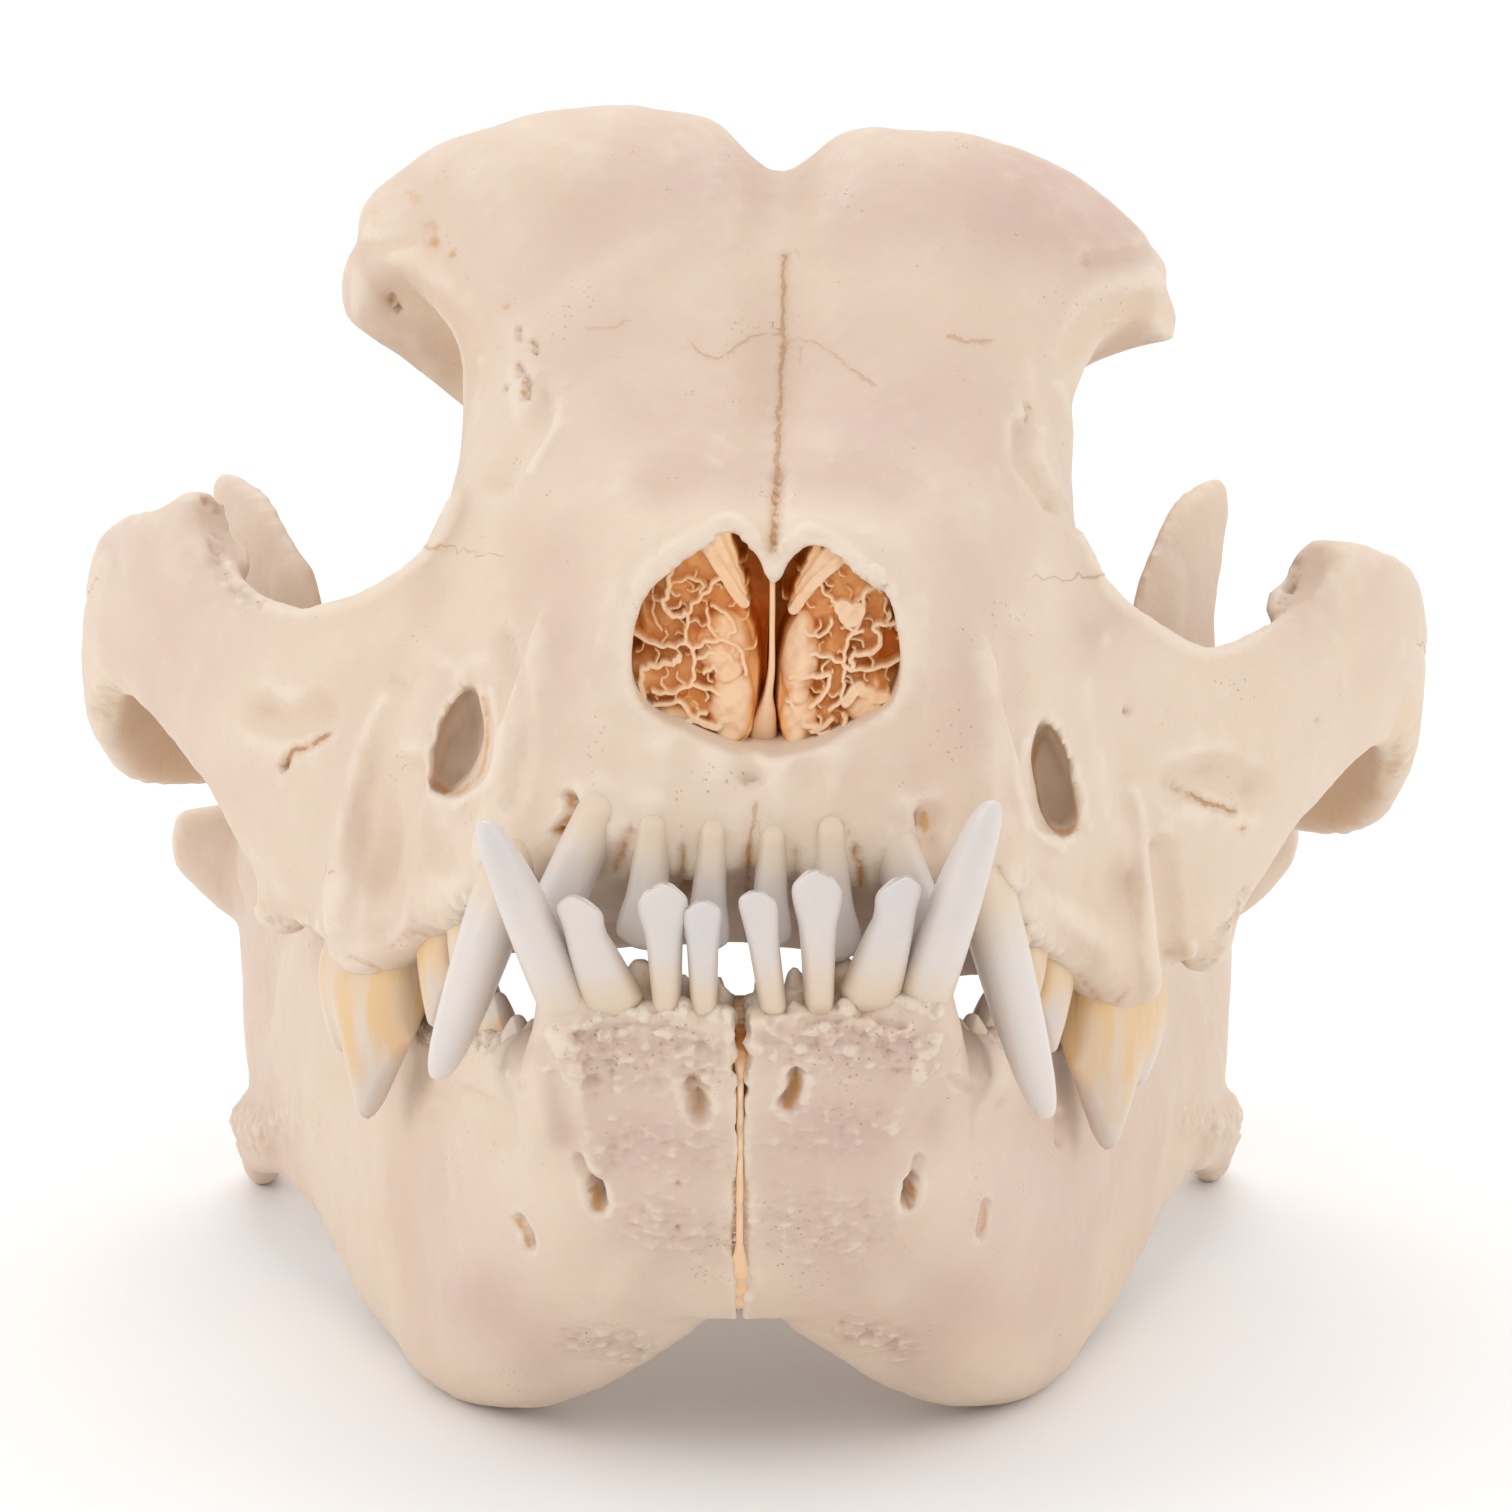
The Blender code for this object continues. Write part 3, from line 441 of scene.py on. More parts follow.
class Surface:
    """A dense mesh in millimetres, and the values that its material reads from it."""

    def __init__(self, made: bpy.types.Object) -> None:
        """Take up an object's mesh."""
        self.object = made
        self.placed = Matrix.Identity(4)
        self.read()

    @staticmethod
    def values(items: bpy.types.bpy_prop_collection, name: str, width: int, kind: type) -> np.ndarray:
        """Read a value of each of a mesh's items.

        Args:
            items: The mesh's vertices, their normals or its edges.
            name: The value's name.
            width: How many numbers it has.
            kind: What they are read as.

        Returns:
            A row for each item.
        """
        found = np.empty(len(items) * width, dtype=kind)
        items.foreach_get(name, found)
        return found.reshape(-1, width)

    def read(self) -> None:
        """Read the places and edges of the mesh."""
        mesh = self.object.data
        self.places = self.values(mesh.vertices, "co", 3, np.float64)
        self.edges = self.values(mesh.edges, "vertices", 2, np.int64)
        self.valence = np.maximum(np.bincount(self.edges.ravel(), minlength=len(self.places)), 1)

    def write(self) -> None:
        """Give the places back to the mesh."""
        self.object.data.vertices.foreach_set("co", self.places.ravel())
        self.object.data.update()

    def normals(self) -> np.ndarray:
        """The normals of the surface as it is now."""
        self.write()
        return self.values(self.object.data.vertex_normals, "vector", 3, np.float32).astype(float)

    def apply(self) -> None:
        """Apply the object's modifiers and read the mesh again."""
        graph = bpy.context.evaluated_depsgraph_get()
        mesh = bpy.data.meshes.new_from_object(self.object.evaluated_get(graph), depsgraph=graph)
        old = self.object.data
        self.object.modifiers.clear()
        self.object.data = mesh
        bpy.data.meshes.remove(old)
        self.read()

    def fuse(self, voxel: float) -> None:
        """Put one skin round the overlapping closed shapes of the mesh.

        Args:
            voxel: The size of its steps in millimetres.
        """
        remesh = self.object.modifiers.new("Skin", "REMESH")
        remesh.mode = "VOXEL"
        remesh.voxel_size = voxel
        self.apply()

    def thin_out(self, triangles: int) -> None:
        """Drop triangles, fewest where the surface bends.

        Args:
            triangles: How many are kept.
        """
        self.object.data.calc_loop_triangles()
        count = len(self.object.data.loop_triangles)
        if count > triangles:
            decimate = self.object.modifiers.new("Thin", "DECIMATE")
            decimate.ratio = triangles / count
            decimate.use_collapse_triangulate = True
            self.apply()

    def join(self, other: bpy.types.Object) -> None:
        """Take in another closed object before both are fused.

        Args:
            other: The object, which is removed.
        """
        self.write()
        bm = bmesh.new()
        bm.from_mesh(self.object.data)
        bm.from_mesh(other.data)
        bm.to_mesh(self.object.data)
        bm.free()
        self.read()
        bpy.data.objects.remove(other)

    def cut(self, cutter: bpy.types.Object) -> None:
        """Cut another closed object out of this one.

        Args:
            cutter: The object, which is removed.
        """
        self.write()
        change = self.object.modifiers.new("Change", "BOOLEAN")
        change.operation = "DIFFERENCE"
        change.object = cutter
        change.solver = "MANIFOLD"
        self.apply()
        bpy.data.objects.remove(cutter)

    def average(self, values: np.ndarray) -> np.ndarray:
        """The mean of the neighbours' values at each vertex.

        Args:
            values: A row of values for each vertex.

        Returns:
            The means in the same rows.
        """
        total = np.zeros_like(values)
        for column in range(values.shape[1]):
            for near, far in (self.edges.T, self.edges.T[::-1]):
                total[:, column] += np.bincount(near, weights=values[far, column], minlength=len(values))
        return total / self.valence[:, None]

    def soften(self, rounds: int) -> None:
        """Even the surface out, giving back most of what each pass shrinks.

        Args:
            rounds: How many passes.
        """
        for step in range(2 * rounds):
            shift = self.average(self.places) - self.places
            self.places += (0.5 if step % 2 == 0 else -0.48) * shift

    def look(self) -> tuple[np.ndarray, np.ndarray, np.ndarray, np.ndarray]:
        """Look at each vertex in the picture and in the unposed bone.

        Returns:
            The places in the picture, how much each faces the camera, the unposed places and
            the unposed normals.
        """
        normals = self.normals()
        back = self.placed.inverted()
        turn = np.array(back.to_3x3())
        return (VIEW.pixels(self.places), VIEW.facing(normals),
                self.places @ turn.T + np.array(back.translation), normals @ turn.T)

    def mark(self, marks: tuple[Mark, ...]) -> None:
        """Push the surface in or out along marks.

        Args:
            marks: The marks.
        """
        seen = self.look()
        lift = np.zeros(len(self.places))
        for item in marks:
            if item.depth:
                near, weight = self.weight(item, seen)[:2]
                lift[near] += item.depth * weight
        self.places += self.normals() * lift[:, None]

    def weight(self, item: Mark, seen: tuple[np.ndarray, ...]) -> tuple[np.ndarray, ...]:
        """How much the vertices take of a mark.

        Args:
            item: The mark.
            seen: What look() gives.

        Returns:
            The numbers of the vertices near it, how much each takes of it, from 0 to 1, its signed
            distance in millimetres and whether it is past the path's ends.
        """
        low = np.min(item.path, axis=0) - item.radius
        high = np.max(item.path, axis=0) + item.radius
        flat = len(low) == 2
        spots = seen[0] if flat else seen[2]
        inside = (spots[:, 0] > low[0]) & (spots[:, 0] < high[0]) & (spots[:, 1] > low[1])
        inside &= spots[:, 1] < high[1]
        if flat:
            inside &= (self.places[:, 1] > item.near) & (self.places[:, 1] < item.far)
        else:
            inside &= (spots[:, 2] > low[2]) & (spots[:, 2] < high[2])
        near = np.flatnonzero(inside)
        gap, signed, beyond = nearest_on(item.path, spots[near], None if flat else seen[3][near])
        share = smooth(1.0 - gap / item.radius)
        if flat:
            return near, share * seen[1][near], signed / VIEW.per_mm, beyond
        return near, share, signed, beyond

    def roughen(self, size: float, height: float, seed: int, where: np.ndarray | None = None) -> None:
        """Raise and lower the surface a little with smooth noise.

        Args:
            size: The size of the bumps in millimetres.
            height: Their height in millimetres.
            seed: Which pattern it is.
            where: How much each vertex takes of it, all of it by default.
        """
        lift = height * waves(self.places, size, seed)
        if where is not None:
            lift = lift * where
        self.places += self.normals() * lift[:, None]

    def hollows(self, rounds: int = 8) -> np.ndarray:
        """How hollow the surface is at each vertex.

        Args:
            rounds: How many rounds of neighbours it is set against.

        Returns:
            The depths in millimetres, less than 0 on crests.
        """
        normals = self.normals()
        eased = self.places.copy()
        for _ in range(rounds):
            eased += 0.5 * (self.average(eased) - eased)
        return np.sum((eased - self.places) * normals, axis=1)

    def store(self, name: str, values: np.ndarray) -> None:
        """Keep values on the mesh for the material to read.

        Args:
            name: The attribute's name.
            values: One number or three for each vertex.
        """
        kind = "FLOAT" if values.ndim == 1 else "FLOAT_VECTOR"
        made = self.object.data.attributes.new(name, kind, "POINT")
        made.data.foreach_set("value" if values.ndim == 1 else "vector",
                              values.astype(np.float32).ravel())

    def move(self, matrix: Matrix) -> None:
        """Turn and shift the surface.

        Args:
            matrix: The transform in millimetres.
        """
        self.placed = matrix @ self.placed
        turn = np.array(matrix.to_3x3())
        self.places = self.places @ turn.T + np.array(matrix.translation)

    def finish(self, name: str, material: bpy.types.Material, slot: Slot,
               replaced: tuple[str, ...] = ()) -> bpy.types.Object:
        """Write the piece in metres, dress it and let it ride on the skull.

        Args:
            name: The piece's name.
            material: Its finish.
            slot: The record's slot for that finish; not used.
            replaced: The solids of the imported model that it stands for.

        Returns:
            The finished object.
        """
        self.places = (self.places - np.array((0.0, MIDDLE_Y, 0.0))) * MM
        self.write()
        made = self.object
        made.name = name
        made.data.name = name
        made.data.materials.clear()
        made.data.materials.append(material)
        made.data.shade_smooth()
        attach(made, "root")
        if replaced:
            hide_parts(*replaced)
        made.data.calc_loop_triangles()
        log.info("%s: %d triangles", name, len(made.data.loop_triangles))
        return made


# The bones.

@dataclass(frozen=True)
class Pose:
    """How a bone is turned and shifted from where it is modelled."""

    turn: float
    axis: str
    about: Row
    shift: Row = (0, 0, 0)

    def matrix(self) -> Matrix:
        """The transform in millimetres."""
        return (Matrix.Translation(self.shift) @ Matrix.Translation(self.about)
                @ Matrix.Rotation(math.radians(self.turn), 4, self.axis)
                @ Matrix.Translation(self.about).inverted())


CRANIUM_POSE = Pose(2.5, "Y", (0.0, 0.0, 71.0))
JAW_POSE = Pose(0.6, "Z", (0.0, 20.0, 0.0), (-1.0, 0.0, 0.0))


@dataclass
class NoseSpace:
    """The space of the nose: two lobes above that meet in one floor below."""

    stations: Rows = ((4, 1.04), (12, 1), (24, 1), (34, 0.92), (42, 0.6))
    outline: Path = (
        (0.6, 75), (3.6, 75.8), (7.4, 77.1), (11.6, 79.3), (12.9, 81.8), (12.9, 85.6), (11.4, 89.6),
        (9, 91), (6.4, 93), (4.1, 93.4), (2.3, 92.3), (1.4, 90.4), (0.7, 89.8), (0.1, 90.8), (-1.1, 92.8),
        (-3.4, 94.1), (-6.1, 92.7), (-8.9, 91), (-11.3, 88.6), (-12.1, 85), (-12, 80.8), (-10.4, 78.6),
        (-6.6, 76.9), (-2.6, 75.4))
    centre: tuple[float, float] = (0.4, 84)

    def ring(self, scale: float, shrink: float, steps: int = 3) -> np.ndarray:
        """The outline at one place along Y.

        Args:
            scale: The outline's size there.
            shrink: How far it is drawn in, in millimetres.
            steps: Points between two of the outline's corners.

        Returns:
            Rows of x and z.
        """
        points = catmull(self.outline + self.outline[:1], steps)[:-1]
        middle = np.array(self.centre)
        lengths = np.linalg.norm(points - middle, axis=1, keepdims=True)
        return middle + (points - middle) * (scale - shrink / lengths)

    def cutter(self) -> bpy.types.Object:
        """The space as a closed shape that is cut out of the cranium.

        Returns:
            The shape's object.
        """
        clay = Clay()
        clay.loft([[Vector((x, y, z)) for x, z in self.ring(scale, 0.0)]
                   for y, scale in self.stations])
        return clay.piece("Nose space")


@dataclass
class Cranium:
    """The cranium, modelled upright and the same on both sides, then leaned a little."""

    # The place along Y, the floor's height and half width, the waist's, the shoulder's, then the
    # height of the two lobes, their distance from the middle and the height of their groove.
    core: Rows = (
        (9, 64, 9, 67, 12.5, 70, 11, 71.5, 5, 71.5), (12.5, 62.5, 16, 67, 18, 72.5, 15, 74.5, 6, 73.8),
        (17, 60, 21, 66, 22.5, 80, 17, 88, 9, 84), (22, 57.5, 24, 66, 25, 86, 17, 95, 5, 93.5),
        (28, 55, 26, 68, 26.5, 89, 19, 97, 6, 96), (33, 53.5, 28.5, 68, 30.5, 92, 21.5, 99, 7, 97.5),
        (40, 51, 32, 69, 34.5, 95, 24, 102, 9, 99.5), (48, 47.5, 35, 70, 35.3, 99, 26.5, 106.5, 11, 102.5),
        (56, 44.5, 33, 77, 32.6, 105, 27.5, 114, 14, 109),
        (64, 43, 24, 94, 26.5, 109, 34, 121.5, 15.5, 115.5),
        (72, 43, 17, 95, 26, 111.5, 40.5, 125.3, 16, 118.8),
        (80, 46, 14, 93, 25, 111.5, 41.5, 126, 16.5, 119.3), (90, 50, 13, 85, 25, 109, 36, 123.3, 16, 117),
        (102, 51, 14, 80, 26, 104, 26.5, 116.5, 11, 113.5), (114, 49, 21, 76, 29.5, 99, 26, 112, 7, 110.5),
        (128, 48, 25, 73, 31, 96, 25, 109, 5, 108.5), (142, 48, 26, 70, 30.5, 92, 23, 106, 4, 106),
        (154, 48, 22, 68, 28.5, 89, 19.5, 103, 4, 103), (163, 49, 17, 66, 24, 87, 15.5, 101, 4, 101),
        (170, 51, 14, 64, 18, 84, 11, 98.5, 3, 98.5))
    # The arch's middle across, its place along Y, its lower and upper edge, half its thickness.
    arch: Rows = (
        (30, 44, 54, 83, 4), (37, 50, 47, 81.6, 4.6), (43.5, 56, 45.5, 78.4, 4.6),
        (48.5, 61.5, 49.5, 77.8, 4.2), (53.5, 67.5, 56, 79.6, 3.8), (58.5, 74, 60, 84.2, 3.4),
        (63, 80.5, 62.6, 83, 3.2), (66.4, 89, 59.5, 79.5, 3), (67.1, 99, 52.5, 74, 2.9),
        (65.4, 109, 47, 68, 3), (61, 119, 44.2, 62, 3.4), (54, 127, 44.2, 57.4, 4.5),
        (45, 131.5, 45.8, 58, 6.5), (34, 132, 46.4, 61, 8.5), (20, 132, 47, 66, 10))
    tooth_ridge: Rows = (
        (22.5, 22, 61.5, 3.6, 4), (26.5, 30, 57.5, 3.6, 4.2), (30.5, 39, 53.5, 4, 4.6),
        (35.5, 48, 48, 4.6, 6), (36, 57, 47, 4.4, 5), (30, 66, 47, 3.6, 4))
    canine_root: Rows = (
        (22.3, 18, 61, 4.6, 5), (21, 20, 69, 4.8, 5.2), (18.8, 24.5, 79, 4.2, 4.6), (17.5, 30, 87, 2.8, 3))
    # The canal under the eye: its place and size, and its outline round that place.
    canal: Rows = (
        (27.9, 14, 72, 1.05), (28.3, 24, 71.7, 1.05), (28.5, 29, 71.3, 1), (28.7, 35.5, 70.9, 0.94),
        (28.8, 39, 70.6, 0.5))
    canal_outline: Path = (
        (-1.5, 5.4), (-2, 3.2), (-2.4, 0.4), (-2.2, -2.8), (-1.3, -5.4), (0.6, -6.9), (2.5, -6.3),
        (2.4, -3), (1.4, 0.6), (-0.4, 3.8))
    canal_rise: tuple[float, float] = (-0.4, 0.9)
    # The brows differ: the picture's right one reaches further out and lies lower.
    brow_left: Rows = (
        (26, 79, 94.8, 116, 7), (33, 77.5, 102.4, 113.5, 5.4), (41.2, 75.5, 105.2, 111.2, 4.4))
    brow_right: Rows = ((26, 79, 90, 116, 7), (34, 77.5, 97.6, 112.5, 5.4), (42.9, 75.5, 103.8, 110.2, 4.4))
    # The cheek's corner, the knob below it and the swelling over the largest tooth.
    cheek_corner: tuple[Row, Row] = ((57, 76.5, 82), (3.4, 3.6, 3.8))
    cheek_knob: tuple[Row, Row] = ((46, 61, 47.5), (3.4, 4.2, 4.2))
    cheek_hook: tuple[Row, Row] = ((53.4, 72.5, 80.6), (2.8, 3.2, 4.2))
    # The corner between the nose's side and the rim under the eye.
    eye_corner: Rows = (
        (29.4, 46, 91.5, 1.8, 2), (30.8, 46.5, 86.6, 2.2, 2.4), (34.4, 49, 81.2, 2.8, 2.8),
        (41, 54.5, 76.6, 2.8, 2.8))
    # How much higher the arch's top is on the left and on the right, and where that begins
    # and is full across.
    arch_rise: tuple[float, float] = (1.1, -0.5)
    rise_from: float = 52.0
    rise_over: float = 6.0
    # How far out the front teeth's roots lie on the picture's left.
    socket_shift: float = 2.1
    bulla_turn: float = 15.0
    knob_turn: float = 25.0
    large_root: tuple[Row, Row] = ((37, 50, 50), (4.5, 8.5, 7))
    ear_bulla: tuple[Row, Row] = ((19, 142, 44), (9, 12.5, 8.5))
    # The swellings over the roots of the front teeth.
    sockets: tuple[Rows, ...] = (
        ((1.9, 12.6, 76, 1.8, 2.2), (1.8, 11.6, 71.5, 1.9, 2.6), (1.8, 11.8, 68.6, 1.9, 2.6)),
        ((6.6, 13.4, 77, 2.2, 2.4), (6.9, 12.2, 72, 2.3, 2.8), (7.2, 12.3, 69.2, 2.2, 2.8)),
        ((9.8, 16.6, 77, 2.8, 3), (11, 14.6, 73, 3, 3.4), (12.2, 14.4, 69.6, 2.9, 3.4)))
    jaw_socket: tuple[Row, Row] = ((43, 138.5, 46.5), (7, 2.2, 5))
    neck_knob: tuple[Row, Row] = ((9.5, 171, 54.5), (5.2, 6.5, 8))
    neck_process: Rows = ((21, 156, 56, 3.6, 4.5), (23, 159, 48, 2.2, 4), (23.5, 160.5, 41.5, 1.5, 2.6))
    palate_wing: Rows = (
        (9.5, 70, 47, 1.8, 5), (10.5, 82, 45, 1.6, 6.5), (11.5, 95, 44.5, 1.6, 6), (12.5, 106, 46, 1.6, 6))
    nape_crest: Rows = (
        (1, 170, 99, 3, 2.6), (12, 166.5, 95, 2.2, 2.8), (22, 160, 85, 2, 2.8), (28.5, 153, 72, 2, 2.8),
        (31, 145, 59, 2.4, 3.4), (31.5, 139, 52, 3.2, 4))
    middle_crest: Rows = (
        (0, 106, 112.5, 2, 3), (0, 125, 109, 1.8, 3.5), (0, 145, 105, 1.8, 3), (0, 171, 100, 2.5, 3.5))
    orbit: tuple[Row, Row] = ((45.5, 68, 90), (15, 16, 12))
    throat: Rows = (
        (0, 66, 49, 6, 3.5), (0, 76, 46.5, 8, 5.5), (0, 92, 44.5, 8.5, 5.5), (0, 108, 42.5, 9, 6))
    neck_opening: tuple[Row, Row] = ((0, 178, 62), (8.5, 14, 7.5))
    right_dome_drop: float = 1.0
    right_dome_share: float = 0.92
    rough_voxel: float = 1.1
    voxel: float = 0.7
    triangles: int = 196000
    nose: NoseSpace = field(default_factory=NoseSpace)

    @staticmethod
    def core_ring(row: Row) -> list[Vector]:
        """The outline of one section through the core.

        Args:
            row: Its sizes, in the order of the core's rows.

        Returns:
            The outline's points.
        """
        y, floor_z, floor_w, waist_z, waist_w, shoulder_z, shoulder_w, roof_z, lobe_x, groove_z = row
        reach, drop = shoulder_w - lobe_x, roof_z - shoulder_z
        right = [(0.0, floor_z + 1.5), (0.62 * floor_w, floor_z), (0.97 * floor_w, floor_z + 2.5),
                 (waist_w, waist_z), (shoulder_w, shoulder_z),
                 (lobe_x + 0.76 * reach, roof_z - 0.4 * drop),
                 (lobe_x + 0.42 * reach, roof_z - 0.14 * drop), (lobe_x, roof_z),
                 (0.38 * lobe_x, groove_z + 0.8 * (roof_z - groove_z)), (0.0, groove_z)]
        left = [(-x, z) for x, z in reversed(right[1:-1])]
        return [Vector((x, y, z)) for x, z in catmull(right + left + right[:1], 5)[:-1]]

    def clay(self) -> Surface:
        """Fuse and even out the closed shapes of the cranium.

        Returns:
            Its surface without openings.
        """
        clay = Clay()
        clay.loft([self.core_ring(row) for row in catmull(self.core, 4)])
        for side in Side:
            rise = self.arch_rise[side is Side.RIGHT]
            clay.band([(side.value * x, y, low, high + rise * held((x - self.rise_from) / self.rise_over),
                        thick) for x, y, low, high, thick in self.arch])
            clay.band(mirrored(self.brow_left if side is Side.LEFT else self.brow_right, side))
            for limb in (self.tooth_ridge, self.canine_root, self.neck_process, self.nape_crest,
                         self.eye_corner):
                clay.limb(mirrored(limb, side), upright=False)
            clay.limb(mirrored(self.palate_wing, side))
            shift = self.socket_shift * (side is Side.RIGHT)
            for limb in self.sockets:
                clay.limb([(side.value * (x + shift), *rest) for x, *rest in limb], upright=False)
            for centre, radii in (self.cheek_corner, self.cheek_knob, self.large_root,
                                  self.jaw_socket, self.cheek_hook):
                clay.blob(beside(centre, side), radii)
            centre, radii = self.ear_bulla
            clay.blob(beside(centre, side), radii, (0.0, 0.0, self.bulla_turn * side.value))
            centre, radii = self.neck_knob
            clay.blob(beside(centre, side), radii, (0.0, self.knob_turn * side.value, 0.0))
        clay.limb(self.middle_crest)
        surface = Surface(clay.piece("Cranium"))
        surface.fuse(self.rough_voxel)
        surface.soften(6)
        return surface

    def openings(self, surface: Surface) -> None:
        """Cut the eye sockets, the nose, the canals under the eyes and the openings below.

        Args:
            surface: The cranium's surface.
        """
        cutters = Clay()
        for side in Side:
            cutters.blob(beside(self.orbit[0], side), self.orbit[1])
        cutters.limb(self.throat)
        cutters.blob(*self.neck_opening)
        surface.cut(cutters.piece("Cutters"))
        surface.fuse(self.rough_voxel)
        surface.soften(3)
        canals = Clay()
        outline = catmull(self.canal_outline + self.canal_outline[:1], 3)[:-1]
        for side, rise in zip(Side, self.canal_rise):
            canals.loft([[Vector((side.value * (x + size * across), y, z + rise + size * up))
                          for across, up in outline] for x, y, z, size in catmull(self.canal, 4)])
        surface.cut(canals.piece("Canals"))
        surface.cut(self.nose.cutter())
        surface.fuse(self.voxel)
        surface.soften(1)

    def one_sided(self, surface: Surface) -> None:
        """Make the dome on the picture's right a little lower and narrower.

        Args:
            surface: The cranium's surface.
        """
        x, z = surface.places[:, 0], surface.places[:, 2]
        share = np.clip((z - 105.0) / 10.0, 0.0, 1.0) * np.clip(x / 12.0, 0.0, 1.0)
        surface.places[:, 2] -= self.right_dome_drop * share
        outer = np.clip((x - 12.0) / 15.0, 0.0, 1.0) * share
        surface.places[:, 0] *= 1.0 - (1.0 - self.right_dome_share) * outer

    def build(self) -> Surface:
        """The whole cranium in the pose of the photograph.

        Returns:
            Its surface, before its fine marks.
        """
        surface = self.clay()
        self.openings(surface)
        self.one_sided(surface)
        surface.move(CRANIUM_POSE.matrix())
        return surface


@dataclass
class LowerJaw:
    """One half of the lower jaw."""

    side: Side
    # The place along Y, the inner and outer side, the lower and upper edge.
    body: Rows = (
        (8, -4, 14, 40, 49), (11, -4, 17.5, 33, 50.5), (15, -4, 20, 26.5, 48), (20, -4, 22, 20, 45.2),
        (26, -2, 24.5, 14.5, 42.8), (32, 3.5, 27, 8.5, 41.4), (38, 9.5, 29.5, 3.8, 40.2),
        (46, 15, 32.5, 0.6, 39.5), (54, 19.5, 35.5, -0.6, 38), (64, 24.5, 38, 0, 37),
        (76, 31.5, 42, 2.2, 37), (90, 38.5, 45.8, 6, 41), (104, 44, 50.4, 7.5, 47), (116, 47, 52.8, 7, 46),
        (124, 49, 53.9, 7.5, 42), (130.5, 50.4, 54.6, 13, 39))
    # The chin's plate behind the incisors: height, outer side, front and back.
    chin: Rows = (
        (52.6, 17.6, 3.6, 12), (50, 18.2, 3.2, 14), (44, 17.6, 5, 18), (36, 17, 8.6, 23), (28, 16, 13, 29),
        (21, 14, 18, 33), (17, 10, 22, 32))
    # The upright blade: height, middle across and along Y, half length, half thickness, turn.
    blade: Rows = (
        (36, 47.5, 108, 18, 2.8, 21), (46, 47, 105.5, 16.5, 2.5, 22), (56, 46, 102.5, 13, 2.3, 25),
        (65, 45.8, 101.5, 11, 2.1, 27), (72, 46.9, 103.5, 11, 1.9, 27), (77, 48.4, 106.5, 9.8, 1.7, 27),
        (80.6, 49.8, 109.5, 7, 1.4, 27), (82, 50.6, 111.5, 3, 1, 27))
    condyle: Rows = (
        (43.5, 131, 36.6, 41.4, 2.6), (48, 131.5, 32, 42.8, 3.6), (55, 132, 29.2, 42.4, 3.6),
        (61.8, 132.5, 35.4, 41.2, 2.6))
    angle: Rows = (
        (48.5, 104, 8, 17, 2.4), (50.6, 114, 5.2, 15, 2.6), (52, 122, 2.6, 12.5, 2.6),
        (52.4, 129, -0.7, 9.5, 2.3), (52.5, 134.5, 0.3, 7, 1.5))
    # The ridge that carries the cheek teeth.
    tooth_ridge: Rows = (
        (19.5, 15, 44.6, 3, 4), (20.5, 21, 42.2, 3, 4), (22.2, 28, 40.4, 3.2, 4), (24.2, 35, 39, 3.2, 4.2),
        (26.4, 44, 38.4, 3.6, 4.2), (29.5, 54, 36.6, 4, 4.4), (33.6, 66, 35.4, 4, 4.4),
        (38.5, 77, 36.2, 3.4, 4))
    # The swelling round the canine's root.
    socket: Rows = (
        (15.6, 8.4, 54.6, 3.4, 4.3), (16.2, 9, 50, 3.8, 4.9), (17, 12, 45, 4, 5), (18, 17, 38, 3.6, 4.6),
        (18.6, 22, 31, 2.4, 3))
    # The bumps of bone between the incisors on either side, with their half width and height.
    bumps_left: Rows = (
        (1.3, 8.6, 52.6, 1, 2.6), (4.5, 8.4, 53.2, 1.2, 2.8), (9, 9.2, 53.8, 1.6, 3),
        (4.4, 5.2, 51.6, 1, 1.8), (9.4, 5.4, 51.8, 1.2, 1.7), (1.6, 4.6, 51, 1.2, 1.5),
        (6.9, 4.2, 51.2, 1.5, 0.9), (11.6, 4.4, 51.1, 1.6, 0.9), (14.6, 4.8, 50.7, 1.5, 1),
        (17.2, 5.6, 49.9, 1.2, 1.1))
    bumps_right: Rows = (
        (-2.2, 8.6, 52.4, 1, 2.6), (-5.9, 7.4, 52.8, 1.1, 2.6), (-9.9, 9, 53.6, 1.6, 3),
        (-5.9, 4.9, 51.8, 1, 2.1), (-10.4, 5.4, 51.1, 1.4, 1.7), (-2.4, 4.6, 50.8, 1.1, 1.4),
        (-4.2, 4.2, 50.6, 1.3, 0.9), (-8.2, 4.2, 50.8, 1.4, 0.9), (-13, 4.6, 50.3, 1.6, 0.9),
        (-16.2, 5, 49.6, 1.5, 1))
    # How far the blade leans to the picture's left, how much higher it is on that side, and the
    # space between the halves, its middle and how it opens at the top.
    lean: tuple[float, float] = (0.9, 2.6)
    higher: tuple[float, float] = (0, 0.9)
    gap: float = 0.38
    seam: float = -0.62
    opening: float = 0.55
    ragged: float = 0.3
    # How square the sections are at the chin and how much less so at the back.
    square: tuple[float, float] = (0.92, 0.22)
    chin_square: float = 0.8
    bump_depth: float = 1.8
    rough_voxel: float = 1.0
    voxel: float = 0.48
    triangles: int = 150000

